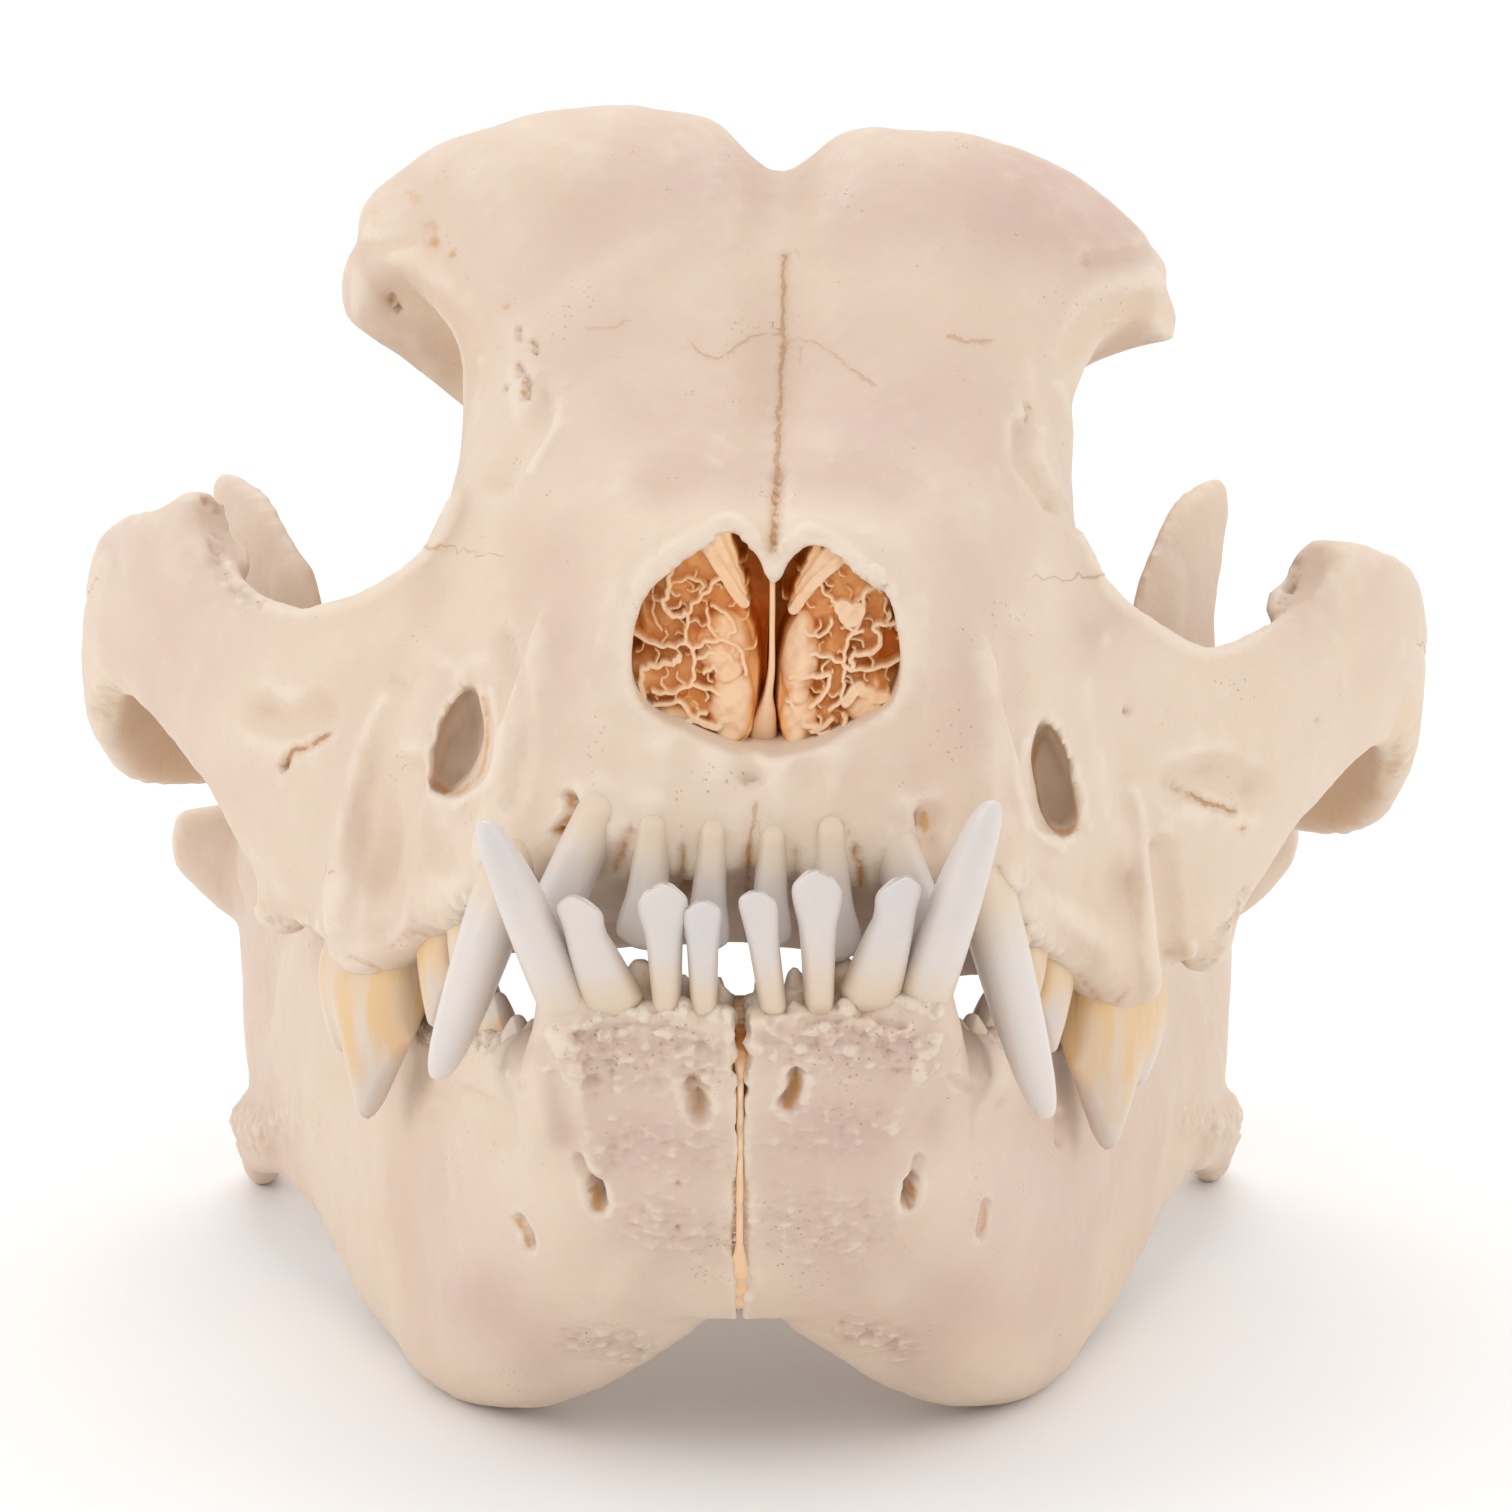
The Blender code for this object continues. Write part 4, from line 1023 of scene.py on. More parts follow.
    def clay(self) -> Surface:
        """Fuse and even out the closed shapes of the half.

        Returns:
            Its surface, still whole at the seam.
        """
        clay = Clay()
        side, soft = self.side.value, self.chin_square
        turns = around(40)
        rings = []
        for y, inner, outer, low, high in catmull(self.body, 5):
            square = self.square[0] - self.square[1] * held((y - 15.0) / 40.0)
            rings.append([Vector((side * (0.5 * (inner + outer)
                                          + 0.5 * (outer - inner) * rounded(math.cos(turn), square)),
                                  y, 0.5 * (low + high)
                                  + 0.5 * (high - low) * rounded(math.sin(turn), soft)))
                          for turn in turns])
        clay.loft(rings)
        clay.loft([[Vector((side * outer * rounded(math.cos(turn), soft), 0.5 * (front + back)
                            + 0.5 * (back - front) * rounded(math.sin(turn), soft), z))
                    for turn in turns] for z, outer, front, back in catmull(self.chin, 4)])
        rings = []
        for z, x, y, half_length, half_thick, turn in catmull(self.blade, 5):
            angle = math.radians(turn)
            along = Vector((side * math.sin(angle), math.cos(angle), 0.0))
            across = Vector((side * math.cos(angle), -math.sin(angle), 0.0))
            rings.append(clay.ring(Vector((side * x, y, z)), along, across, half_length, half_thick,
                                   40))
        clay.loft(rings)
        clay.band(mirrored(self.condyle, self.side))
        clay.band(mirrored(self.angle, self.side))
        clay.limb(mirrored(self.socket, self.side), upright=False)
        clay.limb(mirrored(self.tooth_ridge, self.side))
        surface = Surface(clay.piece("Jaw"))
        surface.fuse(self.rough_voxel)
        surface.soften(5)
        return surface

    def trim(self, surface: Surface, point: Row, normal: Row) -> None:
        """Cut along a plane and close the cut.

        Args:
            surface: What is cut.
            point: A point of the plane.
            normal: The plane's normal, on the side that is dropped.
        """
        surface.write()
        mesh = surface.object.data
        bm = bmesh.new()
        bm.from_mesh(mesh)
        cut = bmesh.ops.bisect_plane(bm, geom=bm.verts[:] + bm.edges[:] + bm.faces[:], dist=0.0001,
                                     plane_co=point, plane_no=normal, clear_outer=True)
        edges = [item for item in cut["geom_cut"] if isinstance(item, bmesh.types.BMEdge)]
        caps = bmesh.ops.holes_fill(bm, edges=edges, sides=0)["faces"]
        bmesh.ops.triangulate(bm, faces=caps)
        bm.to_mesh(mesh)
        bm.free()
        mesh.update()
        surface.read()

    def build(self) -> Surface:
        """The half in the pose of the photograph, its blade a little to the picture's left.

        Returns:
            Its surface, before its fine marks.
        """
        surface = self.clay()
        index = list(Side).index(self.side)
        rise = smooth((surface.places[:, 2] - 48.0) / 34.0)
        surface.places[:, 0] -= self.lean[index] * rise
        surface.places[:, 2] += self.higher[index] * rise
        surface.write()
        side = self.side.value
        bumps = Clay()
        for x, y, z, across, up in (self.bumps_left, self.bumps_right)[index]:
            bumps.blob((x, y, z), (across, self.bump_depth, up))
        surface.join(bumps.piece("Bumps"))
        surface.fuse(self.voxel)
        surface.write()
        self.trim(surface, (self.seam + side * 0.5 * self.gap, 0.0, 0.0), (-side, 0.0, 0.0))
        self.trim(surface, (0.0, 0.0, 0.0), (0.0, 0.0, -1.0))
        surface.fuse(self.voxel)
        surface.soften(1)
        x, z = surface.places[:, 0], surface.places[:, 2]
        inner = smooth(1.0 - np.abs(x - self.seam) / 3.2)
        ragged = self.ragged * waves(surface.places, 2.2, 90 + index) * smooth((z - 36.0) / 8.0)
        x += side * inner * np.maximum(0.0, self.opening * smooth((z - 45.5) / 3.0) + ragged)
        surface.move(JAW_POSE.matrix())
        return surface


# The teeth.

CANINE, INCISOR, BLADE, GRINDER = ToothKind


@dataclass(frozen=True)
class Tooth:
    """One tooth on the left side, in the frame of its bone.

    The turn is about Z in degrees, from a tooth that lies along X. The cusps give the crown's
    height along its length, from -1 (towards the middle line) to 1, as shares of the whole
    height; an incisor's give how far each place lies below its tip, in millimetres. The flare is
    the neck's width as a share of the crown's, and the shelf a step on an incisor's inner side.
    """

    kind: ToothKind
    neck: Row
    tip: Row
    length: float
    width: float
    turn: float = 0.0
    cusps: Path = ((-1, 0.3), (0, 1), (1, 0.3))
    flare: float = 1.0
    bend: float = 0.0
    shelf: float = 0.0
    # The neck and tip of its fellow on the other side, where the two aren't alike.
    fellow: tuple[Row, Row] | None = None

    def place(self, side: Side) -> tuple[Vector, Vector, Vector, Vector]:
        """Where the tooth stands on a side.

        Args:
            side: The side.

        Returns:
            The neck, the tip and the unit vectors along and across the tooth.
        """
        angle = math.radians(self.turn)
        along = Vector((side.value * math.cos(angle), math.sin(angle), 0.0))
        across = Vector((-side.value * math.sin(angle), math.cos(angle), 0.0))
        if side is Side.RIGHT and self.fellow:
            return Vector(self.fellow[0]), Vector(self.fellow[1]), along, across
        return Vector(beside(self.neck, side)), Vector(beside(self.tip, side)), along, across

    def cone(self, clay: Clay, side: Side) -> None:
        """A long tooth with one rounded point, oval in section and bent in its length.

        Args:
            clay: What it is added to.
            side: The side of the skull.
        """
        neck, tip, along, across = self.place(side)
        profile = ((-0.3, 0.72), (-0.12, 0.92), (0.0, 1.0), (0.2, 0.99), (0.4, 0.93), (0.6, 0.83),
                   (0.8, 0.68), (0.91, 0.53), (0.965, 0.38), (0.99, 0.22), (0.999, 0.07))
        rings = []
        for share, part in catmull(profile, 4):
            centre = neck.lerp(tip, share)
            centre.y += self.bend * share * (share - 1.0)
            rings.append(clay.ring(centre, along, across, 0.5 * self.length * part,
                                   0.5 * self.width * part, 28))
        clay.loft(rings)

    def paddle(self, clay: Clay, side: Side) -> None:
        """An incisor: a narrow root that widens to a blunt, lobed crown.

        Args:
            clay: What it is added to.
            side: The side of the skull.
        """
        neck, tip, along, across = self.place(side)
        wide = catmull(((-0.28, 0.7 * self.flare), (-0.1, 0.94 * self.flare), (0.05, self.flare),
                        (0.3, 0.14 + 0.86 * self.flare), (0.55, 0.4 + 0.58 * self.flare),
                        (0.75, 0.93), (0.88, 1.0), (0.95, 0.95), (0.985, 0.8), (0.997, 0.5)), 4)
        thick = np.array(((-0.28, 0.7), (0.0, 1.0), (0.3, 0.98), (0.6, 0.74), (0.85, 0.52), (0.95, 0.4),
                          (0.985, 0.3), (0.997, 0.18)))
        drops = np.array(self.cusps)
        rings = []
        for share, part in wide:
            centre = neck.lerp(tip, share)
            centre.y += self.bend * share * (share - 1.0) + 4.0 * max(0.0, -share)
            depth = 0.5 * self.width * float(np.interp(share, thick[:, 0], thick[:, 1]))
            top = max(0.0, (share - 0.6) / 0.4)
            step = self.shelf * max(0.0, 1.0 - abs(share - 0.1) / 0.55)
            ring = []
            for turn in around(36):
                place = rounded(math.cos(turn), 0.78)
                aside = 0.5 * self.length * part * place
                if place < 0.0:
                    aside += step * place
                spot = centre + along * aside + across * (depth * rounded(math.sin(turn), 0.9))
                spot += (neck - tip).normalized() * top * float(np.interp(place, drops[:, 0], drops[:, 1]))
                ring.append(spot)
            rings.append(ring)
        clay.loft(rings)

    def crown(self, clay: Clay, side: Side, steps: int = 30) -> None:
        """A crown with a row of cusps along its length, thickest near its neck.

        Args:
            clay: What it is added to.
            side: The side of the skull.
            steps: How many slices it has.
        """
        neck, tip, along, across = self.place(side)
        rise = tip - neck
        outline = catmull(((-0.5, 0.66), (-0.2, 0.9), (0.05, 1.0), (0.3, 0.98), (0.6, 0.74),
                           (0.85, 0.44), (0.96, 0.26), (1.0, 0.0)), 3)
        heights = catmull(self.cusps, 12)
        rings = []
        for k in range(steps + 1):
            turn = math.pi * k / steps
            share = -math.cos(turn)
            edge = max(0.05, math.sin(turn)) ** 0.6
            height = float(np.interp(share, heights[:, 0], heights[:, 1]))
            ring = []
            for facing in (1.0, -1.0):
                rows = outline if facing > 0.0 else outline[::-1][1:]
                for level, thick in rows:
                    raised = level * height if level > 0.0 else level
                    spread = self.flare + (1.0 - self.flare) * min(1.0, max(0.0, 1.15 * level))
                    ring.append(neck + rise * raised
                                + along * (0.5 * self.length * share * (1.0 if level > 0.0 else 0.95)
                                           * spread)
                                + across * (facing * 0.5 * self.width * thick * edge))
            rings.append(ring)
        clay.loft(rings)

    def add(self, clay: Clay, side: Side) -> None:
        """Add the tooth to a piece."""
        {CANINE: self.cone, INCISOR: self.paddle}.get(self.kind, self.crown)(clay, side)


LOBED: Path = ((-1, 1.1), (-0.5, 0.1), (0, 0), (0.45, 0.45), (0.6, 0.8), (0.75, 0.75), (1, 1.6))
BLUNT: Path = ((-1, 0.5), (-0.4, 0), (0.4, 0.1), (1, 0.8))
SLOPING: Path = ((-1, 1.4), (-0.5, 0.4), (0.1, 0), (0.5, 0.1), (1, 0.8))
POINTED: Path = (
    (-1, 0.34), (-0.6, 0.6), (-0.15, 0.97), (0, 1), (0.2, 0.9), (0.5, 0.58), (0.72, 0.52), (1, 0.3))
SHEARING: Path = (
    (-1, 0.4), (-0.7, 0.6), (-0.3, 0.96), (-0.15, 1), (0.05, 0.86), (0.3, 0.62), (0.55, 0.66), (0.8, 0.58),
    (1, 0.4))
FLAT: Path = ((-1, 0.7), (-0.5, 1), (0, 0.82), (0.5, 0.92), (1, 0.6))

UPPER_TEETH: tuple[Tooth, ...] = (
    Tooth(INCISOR, (1.7, 10.6, 68.2), (1.7, 8.2, 57.6), 4.3, 5, 0, BLUNT, 0.64,
          fellow=((-3.9, 10.6, 68.4), (-4.1, 8.2, 57.2))),
    Tooth(INCISOR, (6.9, 11, 69), (7.9, 8.6, 56.6), 5.4, 5.4, 8, BLUNT, 0.58,
          fellow=((-9.4, 11, 69), (-9.9, 8.6, 57))),
    Tooth(INCISOR, (11.9, 13, 69.2), (17.3, 10.4, 57.6), 5.6, 6.4, 24, BLUNT, 0.84,
          fellow=((-14.1, 13, 69.6), (-19.4, 10.4, 57.6))),
    Tooth(CANINE, (21.6, 17, 63.2), (28.9, 17.2, 39.9), 5.9, 8.4, 0, bend=5,
          fellow=((-22.6, 17, 62.8), (-28.9, 17.2, 41.2))),
    Tooth(BLADE, (25.2, 25, 57), (25.8, 24.6, 52.6), 4.4, 3.2, 80, POINTED),
    Tooth(BLADE, (26.8, 31.6, 53.4), (27.6, 31.2, 46.8), 6.8, 3.8, 74, POINTED),
    Tooth(BLADE, (29.6, 39.2, 49.6), (30.2, 38.8, 40.5), 8, 4.4, 70, POINTED),
    Tooth(BLADE, (36.4, 49.5, 44), (37.5, 48.6, 28.6), 14.4, 7.8, 54, SHEARING),
    Tooth(GRINDER, (34, 60, 44.5), (34.4, 60, 39.4), 9, 9, 60, FLAT),
    Tooth(GRINDER, (28, 66.5, 44.5), (28, 66.5, 40.8), 5, 6.5, 60, FLAT),
)
LOWER_TEETH: tuple[Tooth, ...] = (
    Tooth(INCISOR, (2.4, 5.6, 53), (0.8, 1.4, 64.9), 3.6, 4.4, 0, BLUNT, 0.72,
          fellow=((-4, 5.6, 52.8), (-4.2, 1.4, 64))),
    Tooth(INCISOR, (6.7, 5.8, 53.4), (6.4, 1.4, 66.9), 4.7, 4.8, 4, LOBED, 0.6,
          fellow=((-7.4, 5.8, 53.2), (-7.9, 1.4, 65.7))),
    Tooth(INCISOR, (12.2, 6.8, 53.2), (14.3, 1.8, 66.2), 4.2, 5.2, 8, SLOPING, 0.98, shelf=1.7,
          fellow=((-13.1, 6.8, 52.6), (-15.9, 1.8, 64.4))),
    Tooth(CANINE, (16.2, 8.2, 52.5), (22.5, 0.6, 73.6), 5.7, 7.6, 0, bend=-2,
          fellow=((-16.5, 8.2, 51.8), (-24.1, 0.6, 71.9))),
    Tooth(BLADE, (20, 18.6, 45.6), (20, 18.6, 48.2), 4.2, 3, 80, POINTED),
    Tooth(BLADE, (21.8, 26, 42.8), (21.8, 26, 46.6), 7, 3.6, 75, POINTED),
    Tooth(BLADE, (23.8, 34.4, 41.6), (23.8, 34.4, 46.6), 8.2, 4, 75, POINTED),
    Tooth(BLADE, (26, 43.6, 41.8), (26, 43.6, 48), 9, 4.6, 75, POINTED),
    Tooth(BLADE, (29.2, 55.4, 40), (28.8, 54.6, 46.8), 14, 5.4, 72, SHEARING),
    Tooth(GRINDER, (33.6, 67, 39), (33.6, 67, 42.2), 7.5, 5.2, 70, FLAT),
    Tooth(GRINDER, (37, 73.6, 39.4), (37, 73.6, 41.8), 4, 3.8, 70, FLAT),
)


@dataclass
class ToothRow:
    """The teeth of one bone, each as its own closed crown and root."""

    name: str
    teeth: tuple[Tooth, ...]
    pose: Pose
    # How much sooner a canine is white above its neck.
    canine_white: float = 1.9

    def build(self, side: Side, tooth: Tooth) -> Surface:
        """One tooth of the row, with its height above the neck kept for its finish.

        Args:
            side: The side of the skull.
            tooth: The tooth's sizes.

        Returns:
            Its surface.
        """
        clay = Clay()
        tooth.add(clay, side)
        surface = Surface(clay.piece("Tooth"))
        neck, tip = tooth.place(side)[:2]
        rise = np.array(tip - neck)
        above = (surface.places - np.array(neck)) @ rise / float(rise @ rise)
        surface.store("above", above * (self.canine_white if tooth.kind is CANINE else 1.0))
        surface.store("stain", np.full(len(above), float(tooth.kind in (BLADE, GRINDER))))
        surface.move(self.pose.matrix())
        return surface

    def dress(self, side: Side, enamel: bpy.types.Material) -> None:
        """Build and finish every tooth of the row on a side.

        Args:
            side: The side of the skull.
            enamel: The teeth's finish.
        """
        label = side.name.lower()
        log.info("%s teeth, %s", self.name, label)
        for number, tooth in enumerate(self.teeth, 1):
            name = f"{self.name}_{label}_tooth_{number:02d}"
            self.build(side, tooth).finish(name, enamel, Slot.BONE)


TOOTH_ROWS: tuple[ToothRow, ...] = (ToothRow("upper", UPPER_TEETH, CRANIUM_POSE),
                                    ToothRow("lower", LOWER_TEETH, JAW_POSE))


# The bones inside the nose, and what is left between the halves of the lower jaw.

Leaf = tuple[Row, float, float]

# Each leaf is a path of x and z in turn, in millimetres from the middle line and 74.2 mm up, then
# its thickness and how far its edge lies behind the front.
LEAVES: dict[Side, tuple[Leaf, ...]] = {
    Side.RIGHT: (
        ((6.4, 19.8, 4.4, 17, 2.6, 14.4, 1.9, 13.7), 1, 0.4), ((5, 19.8, 3.6, 17, 2.3, 14.4), 1.3, 0.7),
        ((3.8, 19.8, 2.9, 16.9, 2, 14.4), 1, 1.1),
        ((12.2, 10.4, 10.1, 9.5, 8.5, 9.4, 7.3, 9.9, 7.1, 11.9, 6.7, 13.2, 5.5, 14.4, 4.4, 15.9), 0.42, 0.1),
        ((8.6, 17.4, 9, 15.7, 9.1, 14.1, 9.5, 13.2, 8.4, 12.1, 7.3, 12.4), 0.6, 0),
        ((8.8, 15, 7.2, 15.7, 5.8, 15.2, 6.1, 14), 0.34, 0.5),
        ((10.9, 16.4, 10.4, 14, 10.3, 12, 9.6, 10.8), 0.34, 0.9),
        ((7.3, 9.9, 6.5, 9.1, 6.3, 7.1, 6.6, 6.1, 8.5, 5.3, 10, 5.3), 0.42, 0.1),
        ((10.6, 3.6, 11.2, 5.9, 11, 7.3, 9.8, 7.6, 8.2, 8, 7.7, 8.4), 0.7, 0.2),
        ((6.5, 9.1, 5.3, 9.9, 3.4, 10.1, 1.9, 9.2, 1.4, 7.2), 0.4, 0.1),
        ((6.3, 8.1, 4.9, 8.9, 3.3, 8.9, 2.6, 7.7, 3.7, 6.7, 4.4, 7.7, 5.3, 7.1), 0.42, 0.3),
        ((6.6, 6.1, 4.6, 5.7, 3.4, 5.2, 2.5, 4.1, 1.9, 5), 0.4, 0.1),
        ((10.2, 3.9, 7.5, 4.5, 6.3, 3.2, 5.1, 3.7), 0.5, 0.4),
        ((9, 2.2, 6, 2.9, 4.2, 2.4, 3.1, 3.2), 0.8, 0.3), ((5.3, 12.9, 5, 11.2, 4.2, 10.2), 0.38, 0.4),
        ((4.9, 13.2, 3.5, 12.5, 2.6, 11.3, 3.4, 10.3), 0.38, 0.4)),
    Side.LEFT: (
        ((7.8, 18.8, 5.2, 16.4, 3.7, 14.5, 2.9, 13.3), 1, 0.4), ((6.2, 19, 4.7, 16.8, 3.5, 14.8), 1.3, 0.8),
        ((4.8, 19.2, 4.2, 17.4, 3.5, 15.6, 3, 13.8), 0.9, 1.2),
        ((13.2, 9.1, 11.2, 8.3, 8.8, 8, 7.8, 8.4, 7.9, 9.8, 8.3, 11.1, 9.4, 11.5), 0.42, 0.1),
        ((8.6, 8.2, 8.6, 9.3, 10.2, 9.5, 11.2, 10.6, 10.5, 12, 12.6, 12.3), 0.6, 0.1),
        ((6.4, 14.2, 7.5, 12.7, 8.5, 11.4, 9.2, 12.8, 9.5, 15.1, 10.4, 15.8), 0.5, 0.1),
        ((7.4, 13.6, 8.3, 12.6, 8.8, 13.4), 1.5, 0), ((7.8, 8.4, 7.8, 6.5, 7.5, 5.1, 6.7, 4.5), 0.42, 0.1),
        ((7.8, 8.4, 6.4, 9, 4.6, 9.2, 3.3, 8.6), 0.42, 0.2),
        ((2.8, 7.1, 4.7, 7.2, 6.5, 7.3, 5.9, 5.6, 4.8, 4.6), 0.5, 0.1),
        ((2.6, 5, 3.7, 4.3, 4.1, 3.1, 5.9, 2.8, 6.9, 3.6), 0.55, 0.3),
        ((8.1, 5.2, 9.2, 6.4, 10.6, 5.8, 12.4, 5.5), 0.9, 0.1),
        ((5, 2.4, 6.5, 2.3, 7.9, 2.7, 8, 4.1), 0.6, 0.3),
        ((5, 15.9, 6.2, 14.4, 8, 13.8, 9.2, 14.6), 0.36, 0.4),
        ((3.5, 11.6, 4.9, 10.8, 6.1, 11.3, 6.5, 12.5), 0.42, 0.3),
        ((11.4, 14.6, 11.6, 12.9, 12.6, 11.6), 0.34, 0.8)),
}
# The rounded swellings beside the wall, at the foot of each half: middle, half widths, height.
SWELLINGS: dict[Side, Rows] = {
    Side.RIGHT: ((2.7, 4.6, 2.2, 3.8, 2.1), (3.6, 9.6, 2.6, 3.2, 1.6), (8.4, 2.6, 2.6, 1.8, 1.4)),
    Side.LEFT: ((3.6, 9, 1.9, 4.2, 2), (3.8, 3.4, 1.8, 2.8, 1.9), (10.4, 4.6, 2.4, 1.8, 2)),
}


@dataclass
class Scrolls:
    """The scrolled bones in one half of the nose: thin branching leaves and rounded folds."""

    side: Side
    branch_every: float = 1.3
    branch_length: float = 0.95
    depth: float = 2.0
    front: float = 18.4
    middle: float = 0.75
    clear: float = 0.2
    shrink: float = -0.5
    rings: int = 110
    turns: int = 340
    base: float = 74.2
    space: NoseSpace = field(default_factory=NoseSpace)

    def branches(self) -> list[tuple[np.ndarray, float, float]]:
        """The leaves, and the small frayed ones that spring from both faces of each.

        Returns:
            For each its path, its thickness and how far it lies behind the front.
        """
        chance = np.random.default_rng(11 + self.side.value)
        paths = []
        for path, thick, back in LEAVES[self.side]:
            track = catmull(list(zip(path[::2], path[1::2])), 6)
            paths.append((track + 0.1 * np.sin(np.arange(len(track)) * 1.3)[:, None],
                          0.6 * thick if thick < 0.9 else thick, back))
            steps = np.linalg.norm(np.diff(track, axis=0), axis=1)
            places = np.concatenate([[0.0], np.cumsum(steps)])
            hand = 1.0
            at = self.branch_every
            while at < places[-1]:
                root = np.array([float(np.interp(at, places, track[:, axis])) for axis in (0, 1)])
                index = min(int(np.searchsorted(places, at)), len(track) - 1)
                ahead = track[index] - track[index - 1]
                angle = math.atan2(ahead[1], ahead[0]) + hand * chance.uniform(0.8, 1.4)
                reach = self.branch_length * chance.uniform(0.4, 1.3)
                tip = root + reach * np.array((math.cos(angle), math.sin(angle)))
                curl = tip + 0.5 * reach * np.array((math.cos(angle + hand), math.sin(angle + hand)))
                paths.append((catmull((tuple(root), tuple(tip), tuple(curl)), 3), 0.14,
                              back + chance.uniform(0.3, 1.2)))
                hand = -hand
                at += self.branch_every * chance.uniform(0.7, 1.3)
        return paths

    def rim(self) -> np.ndarray:
        """Rings of points from the edge of this half of the nose to its middle.

        Returns:
            The rings' x and z.
        """
        whole = self.space.ring(1.0, self.shrink, 8)
        local = np.column_stack([self.side.value * whole[:, 0], whole[:, 1] - self.base])
        inner = self.side.value * self.middle + self.clear
        half = local[local[:, 0] > inner]
        wall = np.column_stack([np.full(30, inner), np.linspace(half[:, 1].min() + 0.2, 15.6, 30)])
        edge = np.vstack([half, wall])
        centre = np.array((6.2, 9.4))
        angles = np.arctan2(edge[:, 1] - centre[1], edge[:, 0] - centre[0])
        order = np.argsort(angles)
        turns = np.linspace(-math.pi, math.pi, self.turns, endpoint=False)
        found = np.stack([np.interp(turns, angles[order], edge[order, axis], period=2 * math.pi)
                          for axis in (0, 1)], axis=1)
        shares = np.linspace(1.0, 0.0, self.rings + 1)[:-1]
        return centre + shares[:, None, None] * (found - centre)[None]

    def relief(self, flat: np.ndarray) -> np.ndarray:
        """How far the surface lies behind the front.

        Args:
            flat: Places of x and z.

        Returns:
            The depth at each in millimetres.
        """
        deep = np.full(len(flat), self.depth) + 0.5 * waves(np.column_stack([flat, flat[:, :1]]), 5.0, 3)
        for x, z, half_x, half_z, height in SWELLINGS[self.side]:
            reach = ((flat[:, 0] - x) / half_x) ** 2 + ((flat[:, 1] - z) / half_z) ** 2
            deep -= height * np.sqrt(np.clip(1.0 - reach, 0.0, 1.0))
        beside = flat[:, 0] - self.side.value * self.middle
        edge = np.interp(flat[:, 1], (0.0, 2.0, 4.0, 8.0, 11.0, 13.0, 15.0, 17.0),
                         (2.2, 1.2, 0.75, 0.7, 1.3, 2.3, 3.3, 4.4))
        channel = smooth((edge - beside) / 0.7 + 0.5)
        outer = smooth((flat[:, 0] - 10.6 - 0.04 * (flat[:, 1] - 9.0) ** 2) / 1.0)
        deep += 4.5 * channel + 1.2 * outer
        for track, thick, back in self.branches():
            reach = 0.5 * thick + 0.2
            near = np.flatnonzero(np.all((flat > track.min(axis=0) - reach)
                                         & (flat < track.max(axis=0) + reach), axis=1))
            gap, _, _ = nearest_on(track, flat[near])
            wall = smooth((gap - 0.5 * thick) / 0.15)
            deep[near] = np.minimum(deep[near], back + (np.maximum(deep[near], back) - back) * wall)
        return deep + 0.1 * waves(np.column_stack([flat, deep]), 1.5, 5)

    def build(self) -> Surface:
        """One half of the nose's scrolls as a closed relief.

        Returns:
            Its surface.
        """
        spots = self.rim()
        flat = spots.reshape(-1, 2)
        deep = self.relief(flat)
        deep[:self.turns] = self.depth + 2.0
        fronts = self.front - 2.6 + 4.6 * smooth((flat[:, 1] + 1.0) / 15.0) + deep
        points = np.column_stack([self.side.value * flat[:, 0], fronts, flat[:, 1] + self.base])
        rows = points.reshape(self.rings, self.turns, 3)
        back_ring = rows[0].copy()
        back_ring[:, 1] = self.front + 16.0
        clay = Clay()
        clay.loft([[Vector(point) for point in row] for row in (back_ring, *rows)])
        surface = Surface(clay.piece("Scrolls"))
        # How far back each place lies; the finish paints it darker orange there, partly as painted shade.
        values = np.concatenate([deep[:self.turns], deep]) / self.depth
        surface.store("deep", np.clip(values, 0.0, 2.5))
        surface.move(CRANIUM_POSE.matrix())
        return surface


@dataclass
class NoseWall:
    """The thin wall between the two halves of the nose, thick at its foot."""

    middle: float = 0.8
    front: float = 17.8
    back: float = 44.0
    # Height, half thickness, how far the edge lies back, how far it leans to the picture's right.
    rows: Rows = (
        (74.6, 1.3, 1.2, -0.4), (76.2, 1.2, 0.6, -0.3), (77.8, 0.85, 0.4, -0.1), (79.4, 0.42, 0.3, 0),
        (82, 0.3, 0.2, 0.2), (85, 0.26, 0.6, 0.1), (88, 0.26, 1.4, 0), (90.4, 0.26, 2.6, -0.1))

    def build(self) -> Surface:
        """The wall as a closed plate with a gently waving front edge.

        Returns:
            Its surface.
        """
        clay = Clay()
        rings = []
        for z, half, back, lean in catmull(self.rows, 8):
            middle = self.middle + lean
            front = self.front + back
            ring = [(middle - half, self.back), (middle - half, front + 0.8),
                    (middle - 0.7 * half, front + 0.2), (middle, front),
                    (middle + 0.7 * half, front + 0.2), (middle + half, front + 0.8),
                    (middle + half, self.back)]
            rings.append([Vector((x, y, z)) for x, y in ring])
        clay.loft(rings)
        surface = Surface(clay.piece("Wall"))
        # Further back, the finish paints the wall darker orange, partly as painted shade.
        surface.store("deep", np.clip((surface.places[:, 1] - self.front - 2.6) / 2.0, 0.0, 2.2))
        surface.move(CRANIUM_POSE.matrix())
        return surface


